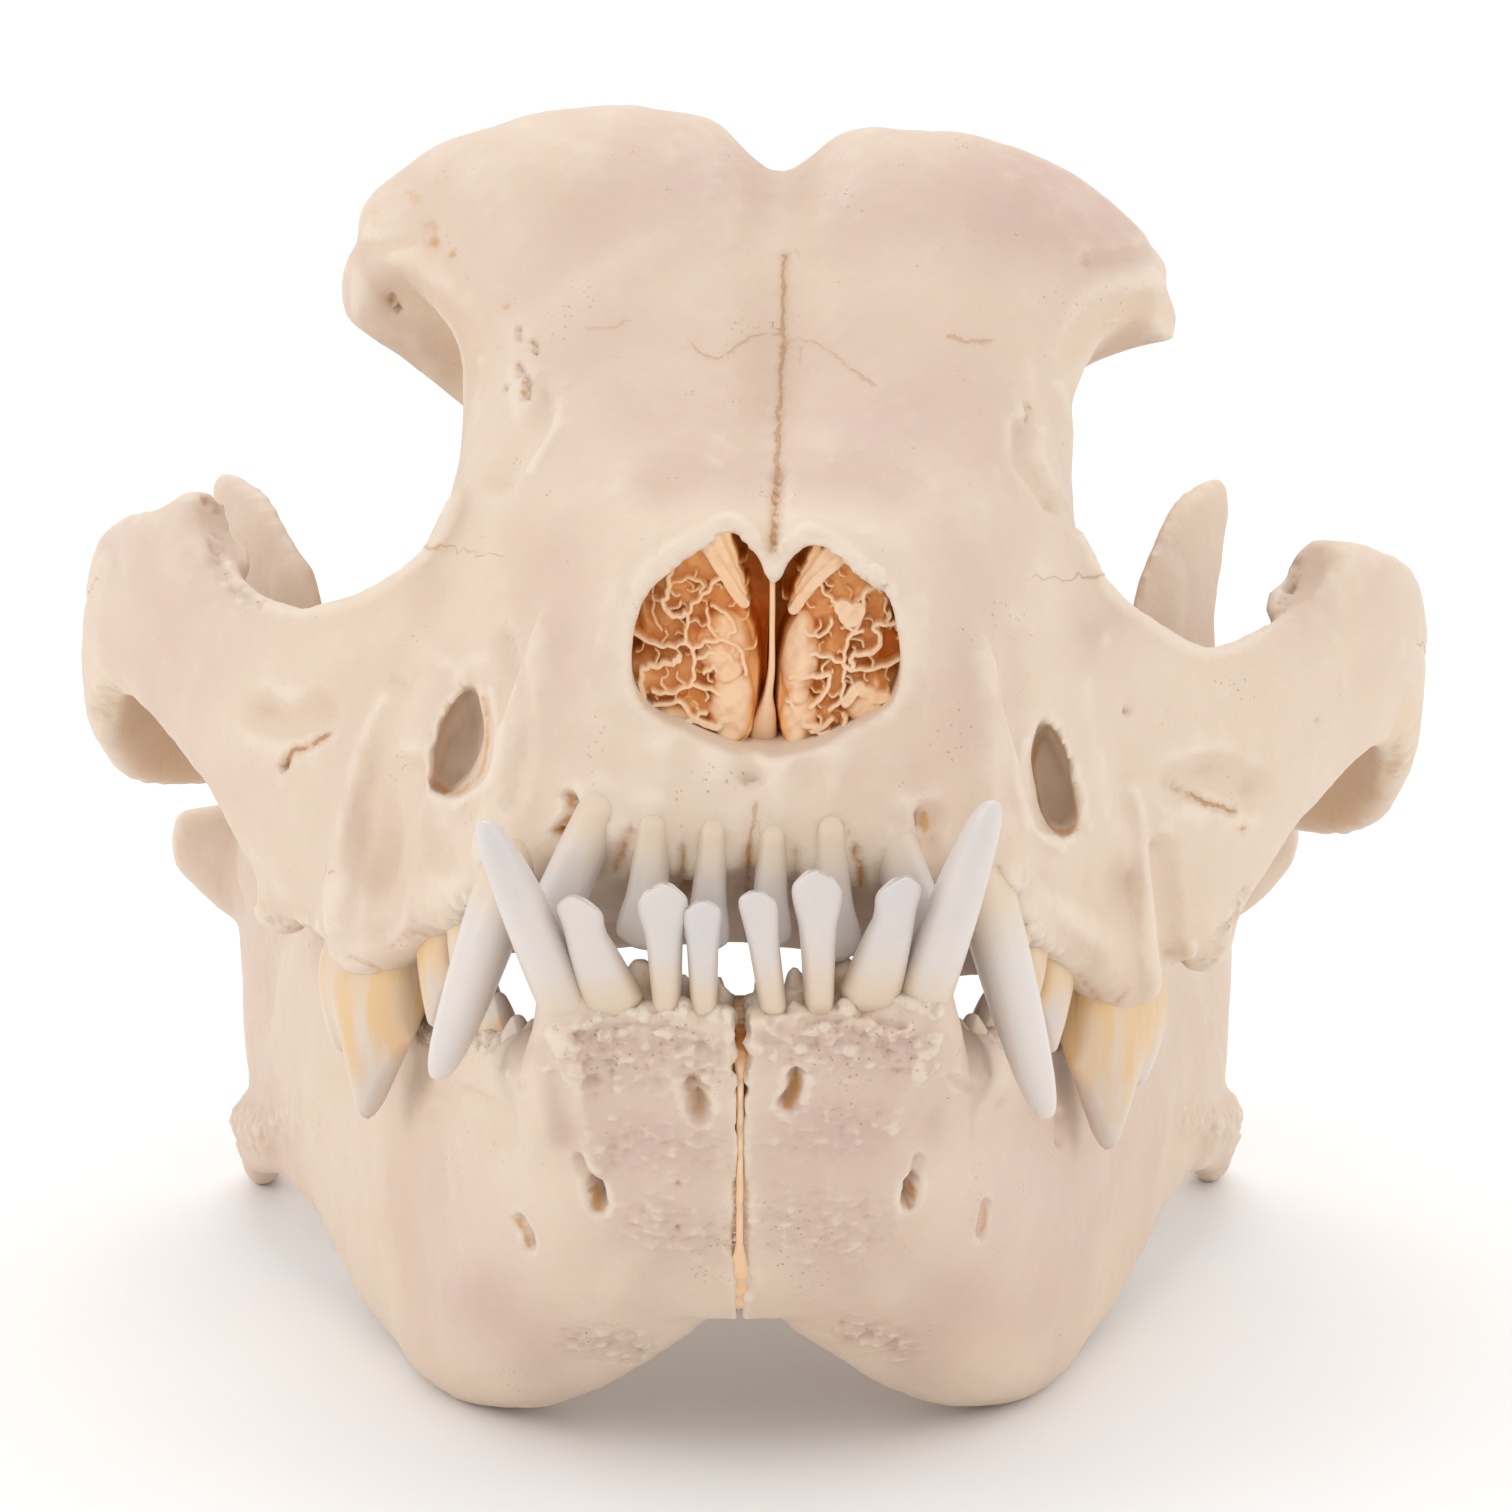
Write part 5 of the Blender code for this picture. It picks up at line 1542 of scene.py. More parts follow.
@dataclass
class ChinSeam:
    """The dried gristle between the two halves of the lower jaw."""

    # Height, then the front and back of the strip.
    rows: Rows = (
        (52, 8.6, 12.5), (51, 7.2, 13), (49.6, 6.8, 14), (47.4, 4.9, 15.5), (42, 6.1, 19), (36, 8.6, 23),
        (29, 12.2, 28), (22.5, 17, 31.5), (18.6, 20.4, 31))
    half: float = 0.34
    middle: float = -0.62

    def build(self) -> Surface:
        """The strip as a closed plate with a lumpy front.

        Returns:
            Its surface.
        """
        clay = Clay()
        rings = []
        for index, (z, front, back) in enumerate(catmull(self.rows, 8)):
            lump = 0.25 * math.sin(index * 1.7) + 0.2 * math.sin(index * 0.6)
            foot = 1.0 + 2.6 * held((27.0 - z) / 4.0)
            head = 1.0 + held((z - 45.5) / 3.0)
            half = self.half * max(foot, head)
            rings.append([Vector((self.middle + x, y, z)) for x, y in (
                (-half, back), (-half, front + 0.5), (-0.4 * half, front + 0.25 + lump),
                (0.5 * half, front + 0.3 + lump), (half, front + 0.5), (half, back))])
        clay.loft(rings)
        surface = Surface(clay.piece("Seam"))
        high = surface.places[:, 2]
        surface.store("deep", 0.3 + 1.3 * smooth(1.0 - np.abs(high - 49.3) / 2.2))
        surface.move(JAW_POSE.matrix())
        return surface


# The finishes.

Colour = tuple[float, float, float]
Socket = bpy.types.NodeSocket
Node = bpy.types.Node
Tree = bpy.types.NodeTree


class Graph:
    """Adds nodes to a node tree and links them."""

    def __init__(self, tree: Tree) -> None:
        """Work in this tree."""
        self.tree = tree

    def node(self, kind: str, inputs: dict[str, object] | None = None, **settings: object) -> Node:
        """Add a node.

        Args:
            kind: The node's type.
            inputs: Its inputs by name or number, each a value or a socket to link.
            settings: Its properties.

        Returns:
            The node.
        """
        made = self.tree.nodes.new(kind)
        for name, value in settings.items():
            setattr(made, name, value)
        for name, value in (inputs or {}).items():
            target = made.inputs[name]
            if isinstance(value, Socket):
                self.tree.links.new(value, target)
            elif isinstance(value, tuple) and target.type == "RGBA":
                target.default_value = (*value, 1.0)
            else:
                target.default_value = value
        return made

    def group(self, tree: Tree, inputs: dict[str, object]) -> Node:
        """Place a node group with these inputs."""
        return self.node("ShaderNodeGroup", inputs, node_tree=tree)

    def math(self, operation: str, *values: object, clamp: bool = False) -> Socket:
        """Add a math node and give its output."""
        return self.node("ShaderNodeMath", dict(enumerate(values)), operation=operation,
                         use_clamp=clamp).outputs[0]

    def times(self, *values: object, clamp: bool = False) -> Socket:
        """The product of two values."""
        return self.math("MULTIPLY", *values, clamp=clamp)

    def swing(self, value: Socket, reach: float) -> Socket:
        """A noise value made even about 0 and scaled."""
        return self.times(self.math("SUBTRACT", value, 0.5), reach)

    def span(self, value: Socket, low: float, high: float, start: float = 0.0,
             end: float = 1.0) -> Socket:
        """Make a value change smoothly as another goes from one number to a second.

        Args:
            value: The other value.
            low: The first number, which may be the larger one.
            high: The second number.
            start: The result at the first number.
            end: The result at the second number.

        Returns:
            The changed value.
        """
        if low > high:
            low, high, start, end = high, low, end, start
        made = self.node("ShaderNodeMapRange", {"Value": value, "From Min": low, "From Max": high,
                                                "To Min": start, "To Max": end},
                         interpolation_type="SMOOTHSTEP")
        return made.outputs[0]

    def mix(self, share: object, first: object, second: object) -> Socket:
        """Mix two colours and give the result."""
        return self.node("ShaderNodeMix", {0: share, 6: first, 7: second}, data_type="RGBA").outputs[2]

    def noise(self, places: Socket, scale: float, detail: float = 3.0, rough: float = 0.5,
              warp: float = 0.0) -> Socket:
        """A noise value at places."""
        return self.node("ShaderNodeTexNoise", {"Vector": places, "Scale": scale, "Detail": detail,
                                                "Roughness": rough, "Distortion": warp}).outputs[0]

    def cells(self, places: Socket, scale: float) -> Socket:
        """The distance to the nearest of scattered points."""
        return self.node("ShaderNodeTexVoronoi", {"Vector": places, "Scale": scale}).outputs["Distance"]

    def attribute(self, name: str, output: str = "Fac") -> Socket:
        """A value kept on the mesh."""
        return self.node("ShaderNodeAttribute", attribute_name=name).outputs[output]


def millimetres(graph: Graph) -> Socket:
    """The piece's own coordinates in millimetres."""
    made = graph.node("ShaderNodeMapping", {"Vector": graph.node("ShaderNodeTexCoord").outputs["Object"],
                                            "Scale": (1000.0, 1000.0, 1000.0)})
    return made.outputs[0]


def group(name: str, inputs: tuple[tuple[str, str, float], ...],
          outputs: tuple[tuple[str, str], ...]) -> tuple[Tree, Graph, Node, Node]:
    """Start a node group.

    Args:
        name: Its name.
        inputs: The name, socket kind and default value of each input.
        outputs: The name and socket kind of each output.

    Returns:
        The group, a graph in it, its input node and its output node.
    """
    tree = bpy.data.node_groups.new(name, "ShaderNodeTree")
    for label, kind, value in inputs:
        socket = tree.interface.new_socket(label, in_out="INPUT", socket_type=kind)
        if kind == "NodeSocketFloat":
            socket.default_value = value
    for label, kind in outputs:
        tree.interface.new_socket(label, in_out="OUTPUT", socket_type=kind)
    graph = Graph(tree)
    return tree, graph, graph.node("NodeGroupInput"), graph.node("NodeGroupOutput")


def grain_group() -> Tree:
    """The grain that all bone here shares: mottling, stains, pores and a height for bump.

    Returns:
        The node group.
    """
    tree, graph, source, result = group(
        "Bone grain", (("Places", "NodeSocketVector", 0.0), ("Porous", "NodeSocketFloat", 0.3)),
        (("Mottle", "NodeSocketFloat"), ("Warmth", "NodeSocketFloat"), ("Pores", "NodeSocketFloat"),
         ("Height", "NodeSocketFloat")))
    places, porous = source.outputs["Places"], source.outputs["Porous"]
    wide = graph.noise(places, 0.045, 3.0, 0.55, 0.4)
    fine = graph.noise(places, 0.35, 4.0, 0.6)
    warmth = graph.noise(places, 0.028, 2.0, 0.5, 0.8)
    dots = graph.span(graph.cells(places, 1.25), 0.1, 0.2, 1.0, 0.0)
    patches = graph.math("ADD", graph.noise(places, 0.16, 2.0), graph.times(porous, 0.3))
    pores = graph.times(dots, graph.span(patches, 0.64, 0.78))
    small = graph.times(graph.span(graph.cells(places, 3.1), 0.1, 0.24, 1.0, 0.0),
                        graph.span(graph.noise(places, 0.3, 2.0), 0.6, 0.75))
    sunk = graph.math("ADD", graph.times(pores, 0.7), graph.times(small, 0.28))
    height = graph.math("SUBTRACT", graph.times(graph.noise(places, 1.1, 5.0, 0.62), 0.5), sunk)
    mottle = graph.math("ADD", graph.times(wide, 0.7), graph.times(fine, 0.3))
    for label, value in (("Mottle", mottle), ("Warmth", warmth), ("Height", height),
                         ("Pores", graph.math("MAXIMUM", pores, graph.times(small, 0.6)))):
        graph.tree.links.new(value, result.inputs[label])
    return tree


def material(name: str) -> tuple[bpy.types.Material, Graph, Node]:
    """Start a material.

    Args:
        name: Its name.

    Returns:
        The material, a graph in its tree and its shader.
    """
    made = bpy.data.materials.new(name)
    made.use_nodes = True
    return made, Graph(made.node_tree), made.node_tree.nodes["Principled BSDF"]


def dress(graph: Graph, shader: Node, colour: Socket, roughness: Socket, height: Socket,
          bump: tuple[float, float], depth: float, radius: Colour, weight: float) -> None:
    """Link a finish's colour, roughness and bump to its shader, and let light into it a little.

    Args:
        graph: The material's graph.
        shader: Its shader.
        colour: The colour all over the piece.
        roughness: The roughness all over the piece.
        height: The height of the fine relief.
        bump: How strong the relief is, and how high in metres.
        depth: How far light goes in, in metres.
        radius: The shares of that for red, green and blue.
        weight: How much of the light goes in.
    """
    relief = graph.node("ShaderNodeBump", {"Strength": bump[0], "Distance": bump[1], "Height": height})
    for name, value in (("Base Color", colour), ("Roughness", roughness), ("Normal", relief.outputs[0])):
        graph.tree.links.new(value, shader.inputs[name])
    for name, value in (("Weight", weight), ("Radius", radius), ("Scale", depth)):
        shader.inputs[f"Subsurface {name}"].default_value = value


@dataclass(frozen=True)
class BoneFinish:
    """Cleaned bone: pale, dry and a little pink, with stained seams, painted shade in pores and hollows and
    painted highlights on crests.
    """

    name: str = "bone"
    pale: Colour = (0.725, 0.585, 0.465)
    # Pink and yellow are the bone's own tints, and also the painted shade that the marks call for.
    pink: Colour = (0.61, 0.435, 0.36)
    yellow: Colour = (0.71, 0.53, 0.355)
    seam: Colour = (0.42, 0.17, 0.045)
    stain: Colour = (0.60, 0.30, 0.075)
    # Painted shade in hollows, a painted highlight on crests and painted shade in pores.
    hollow: Colour = (0.46, 0.27, 0.14)
    crest_highlight: Colour = (0.82, 0.72, 0.60)
    pore_shade: Colour = (0.34, 0.18, 0.09)

    def make(self, grain: Tree) -> bpy.types.Material:
        """Build the material.

        Args:
            grain: The grain that all materials share.

        Returns:
            The material.
        """
        made, graph, shader = material(self.name)
        places = millimetres(graph)
        rough = graph.attribute("rough")
        texture = graph.group(grain, {"Places": places, "Porous": rough})
        warmth, mottle = texture.outputs["Warmth"], texture.outputs["Mottle"]
        colour = graph.mix(graph.span(warmth, 0.4, 0.7, 0.0, 0.5), self.pale, self.pink)
        colour = graph.mix(graph.span(mottle, 0.44, 0.7, 0.0, 0.25), colour, self.yellow)
        # Painted shade: the marks shift the colour to pink or yellow, mostly on shaded tops, undersides and
        # hollows, partly as the bone's own tint.
        tone = graph.attribute("tone")
        colour = graph.mix(graph.times(tone, 0.8, clamp=True), colour, self.pink)
        colour = graph.mix(graph.times(graph.times(tone, -1.0, clamp=True), 0.8), colour, self.yellow)
        # Painted shade, brownish, in the hollows and a painted highlight, paler, on the crests, from how
        # hollow the surface is.
        hollow = graph.attribute("hollow")
        colour = graph.mix(graph.span(hollow, 0.05, 0.8, 0.0, 0.6), colour, self.hollow)
        colour = graph.mix(graph.span(hollow, -0.03, -0.3, 0.0, 0.5), colour, self.crest_highlight)
        # Painted shade in the pores.
        colour = graph.mix(graph.times(texture.outputs["Pores"], 0.5), colour, self.pore_shade)
        stain = graph.attribute("stain")
        ragged = graph.math("ADD", stain, graph.swing(graph.noise(places, 0.9, 4.0, 0.6), 0.7))
        stained = graph.times(graph.span(ragged, 0.25, 0.8), graph.span(stain, 0.02, 0.2))
        colour = graph.mix(graph.times(stained, 0.75), colour, self.stain)
        seam = graph.node("ShaderNodeAttribute", attribute_name="seam")
        parts = graph.node("ShaderNodeSeparateXYZ", {0: seam.outputs["Vector"]})
        away, near = parts.outputs[0], parts.outputs[1]
        zigzag = graph.swing(graph.noise(places, 0.5, 3.0, 0.65), 1.3)
        line = graph.math("ABSOLUTE", graph.math("ADD", away, zigzag))
        width = graph.math("ADD", graph.times(graph.noise(places, 0.3, 2.0), 0.5), 0.02)
        crisp = graph.math("SUBTRACT", 1.0, graph.math("DIVIDE", line, width), clamp=True)
        broken = graph.times(graph.span(graph.times(crisp, near), 0.05, 0.4),
                             graph.span(graph.noise(places, 0.42, 2.0), 0.3, 0.44))
        halo = graph.times(graph.span(line, 0.9, 0.0, 0.0, 0.3), near)
        colour = graph.mix(halo, colour, self.stain)
        colour = graph.mix(graph.times(graph.times(broken, near), 0.7), colour, self.seam)
        height = graph.math("SUBTRACT", texture.outputs["Height"], graph.times(broken, 0.7))
        height = graph.times(height, graph.math("ADD", 0.8, graph.times(rough, 1.6)))
        dress(graph, shader, colour, graph.span(mottle, 0.3, 0.7, 0.46, 0.66), height, (0.42, 0.00045),
              0.0016, (1.0, 0.5, 0.25), 0.14)
        shader.inputs["IOR"].default_value = 1.45
        shader.inputs["Specular IOR Level"].default_value = 0.42
        return made


@dataclass(frozen=True)
class EnamelFinish:
    """Teeth: glossy pale enamel, yellow and orange at the neck, stained on the cheek teeth."""

    name: str = "enamel"
    pale: Colour = (0.70, 0.63, 0.58)
    cool: Colour = (0.65, 0.60, 0.575)
    neck: Colour = (0.71, 0.565, 0.425)
    stain: Colour = (0.74, 0.46, 0.17)
    root: Colour = (0.66, 0.45, 0.22)

    def make(self, grain: Tree) -> bpy.types.Material:
        """Build the material.

        Args:
            grain: The grain that all materials share.

        Returns:
            The material.
        """
        made, graph, shader = material(self.name)
        places = millimetres(graph)
        texture = graph.group(grain, {"Places": places, "Porous": 0.0})
        above, stain = graph.attribute("above"), graph.attribute("stain")
        uneven = graph.math("ADD", above, graph.swing(graph.noise(places, 0.5, 3.0), 0.22))
        colour = graph.mix(graph.span(texture.outputs["Mottle"], 0.4, 0.65), self.pale, self.cool)
        stretched = graph.node("ShaderNodeMapping", {"Vector": places, "Scale": (1.0, 1.0, 0.16)})
        streaks = graph.span(graph.noise(stretched.outputs[0], 0.3, 3.0, 0.5), 0.38, 0.66)
        colour = graph.mix(graph.span(uneven, 0.62, 0.06), colour, self.neck)
        streaks = graph.times(streaks, graph.span(uneven, 0.95, 0.5, 0.1, 0.62))
        stained = graph.times(graph.math("ADD", 0.13, streaks), stain, clamp=True)
        colour = graph.mix(stained, colour, self.stain)
        colour = graph.mix(graph.span(uneven, 0.0, -0.25, 0.0, 0.3), colour, self.root)
        dress(graph, shader, colour, graph.span(uneven, 0.7, 0.0, 0.31, 0.42), texture.outputs["Height"],
              (0.14, 0.0002), 0.001, (1.0, 0.7, 0.5), 0.2)
        shader.inputs["IOR"].default_value = 1.6
        return made


@dataclass(frozen=True)
class ScrollFinish:
    """The thin bones in the nose: pale at their edges and deep orange between them, darker the further back
    they lie, which is partly their own orange and partly painted shade.
    """

    name: str = "nose_bone"
    pale: Colour = (0.87, 0.6, 0.39)
    middle: Colour = (0.9, 0.47, 0.17)
    # The colour deep in the nose: their own orange and painted shade together.
    deep: Colour = (0.87, 0.25, 0.004)

    def make(self, grain: Tree) -> bpy.types.Material:
        """Build the material.

        Args:
            grain: The grain that all materials share.

        Returns:
            The material.
        """
        made, graph, shader = material(self.name)
        places = millimetres(graph)
        texture = graph.group(grain, {"Places": places, "Porous": 0.2})
        deep = graph.math("ADD", graph.attribute("deep"), graph.swing(graph.noise(places, 0.8, 3.0), 0.25))
        # Darker and more orange the further back: own colour and painted shade.
        colour = graph.mix(graph.span(deep, 0.2, 0.95), self.pale, self.middle)
        colour = graph.mix(graph.span(deep, 1.15, 1.8), colour, self.deep)
        mottle = graph.span(texture.outputs["Mottle"], 0.45, 0.65, 0.0, 0.3)
        colour = graph.mix(mottle, colour, self.middle)
        dress(graph, shader, colour, graph.span(texture.outputs["Mottle"], 0.3, 0.7, 0.4, 0.6),
              texture.outputs["Height"], (0.4, 0.0003), 0.0015, (1.0, 0.45, 0.15), 0.2)
        return made


# The studio.

@dataclass
class Studio:
    """A pale floor, soft lamps and an even white surround."""

    floor_half: float = 3.0
    floor_colour: Colour = (0.95, 0.95, 0.95)
    surround: float = 0.98
    # Each lamp's place, size and power; all look at the skull.
    lamps: Rows = ((-0.9, -0.35, 0.45, 0.7, 1.6), (0.95, -0.3, 0.4, 0.7, 1.1), (0, 0.7, 1, 1, 3))
    aim: Row = (0, 0, 0.07)

    def build(self) -> None:
        """Add the floor, the lamps and the surround."""
        bm = bmesh.new()
        bmesh.ops.create_grid(bm, x_segments=1, y_segments=1, size=self.floor_half)
        mesh = bpy.data.meshes.new("Floor")
        bm.to_mesh(mesh)
        bm.free()
        floor = add_object("Floor", mesh)
        made, graph, shader = material("Floor")
        faint = graph.noise(millimetres(graph), 0.01, 2.0)
        graph.tree.links.new(graph.mix(graph.span(faint, 0.3, 0.7), self.floor_colour,
                                       tuple(0.985 * part for part in self.floor_colour)),
                             shader.inputs["Base Color"])
        shader.inputs["Roughness"].default_value = 0.8
        mesh.materials.append(made)
        for index, (x, y, z, size, power) in enumerate(self.lamps):
            data = bpy.data.lights.new(f"Lamp {index}", "AREA")
            data.shape = "DISK"
            data.size = size
            data.energy = power
            lamp = add_object(f"Lamp {index}", data)
            lamp.location = (x, y, z)
            looking = Vector(self.aim) - lamp.location
            lamp.rotation_euler = looking.to_track_quat("-Z", "Y").to_euler()
        world = bpy.data.worlds.new("Surround")
        world.use_nodes = True
        back = world.node_tree.nodes["Background"]
        back.inputs["Color"].default_value = (1.0, 1.0, 1.0, 1.0)
        back.inputs["Strength"].default_value = self.surround
        bpy.context.scene.world = world
        bpy.context.scene.view_settings.view_transform = "Standard"


# The marks on the bones: each row has a path, then its radius, depth, stain, tone and roughness.
# What more than one list uses has a name.
# The pink or yellow shift that the marks give is mostly painted shade, and partly the bone's own tint.

SUTURE: Row = (784, 250, 783, 330, 780, 390, 777, 452, 775, 500, 773, 545)
LEFT_CRACK: Row = (284, 766, 292, 752, 305, 748, 318, 741, 329, 733)
RIGHT_CRACK: Row = (1184, 791, 1200, 800, 1221, 808, 1237, 812)
TEETH_SEAM: Row = (757, 800, 755, 820, 750, 850, 748, 880)
CROWN_SEAM: Row = (3, 110, 112, 12, 108, 112.5, 22, 105, 107, 28, 104, 98, 27, 106, 88, 25, 108, 78)
TEMPLE_SEAM: Row = (29, 118, 86, 31, 128, 85, 31.5, 140, 82, 29, 150, 80)
ARCH_SEAM: Row = (69.5, 80, 75, 70, 90, 71, 69, 100, 63, 67, 108, 54, 64, 113, 48)
CHEEK_SEAM: Row = (21, 20, 92, 25, 30, 90.5, 29, 40, 88, 34, 48, 86, 37, 54, 83)
PALATE_SEAM: Row = (0, 16, 62, 0, 34, 54, 0, 60, 46)
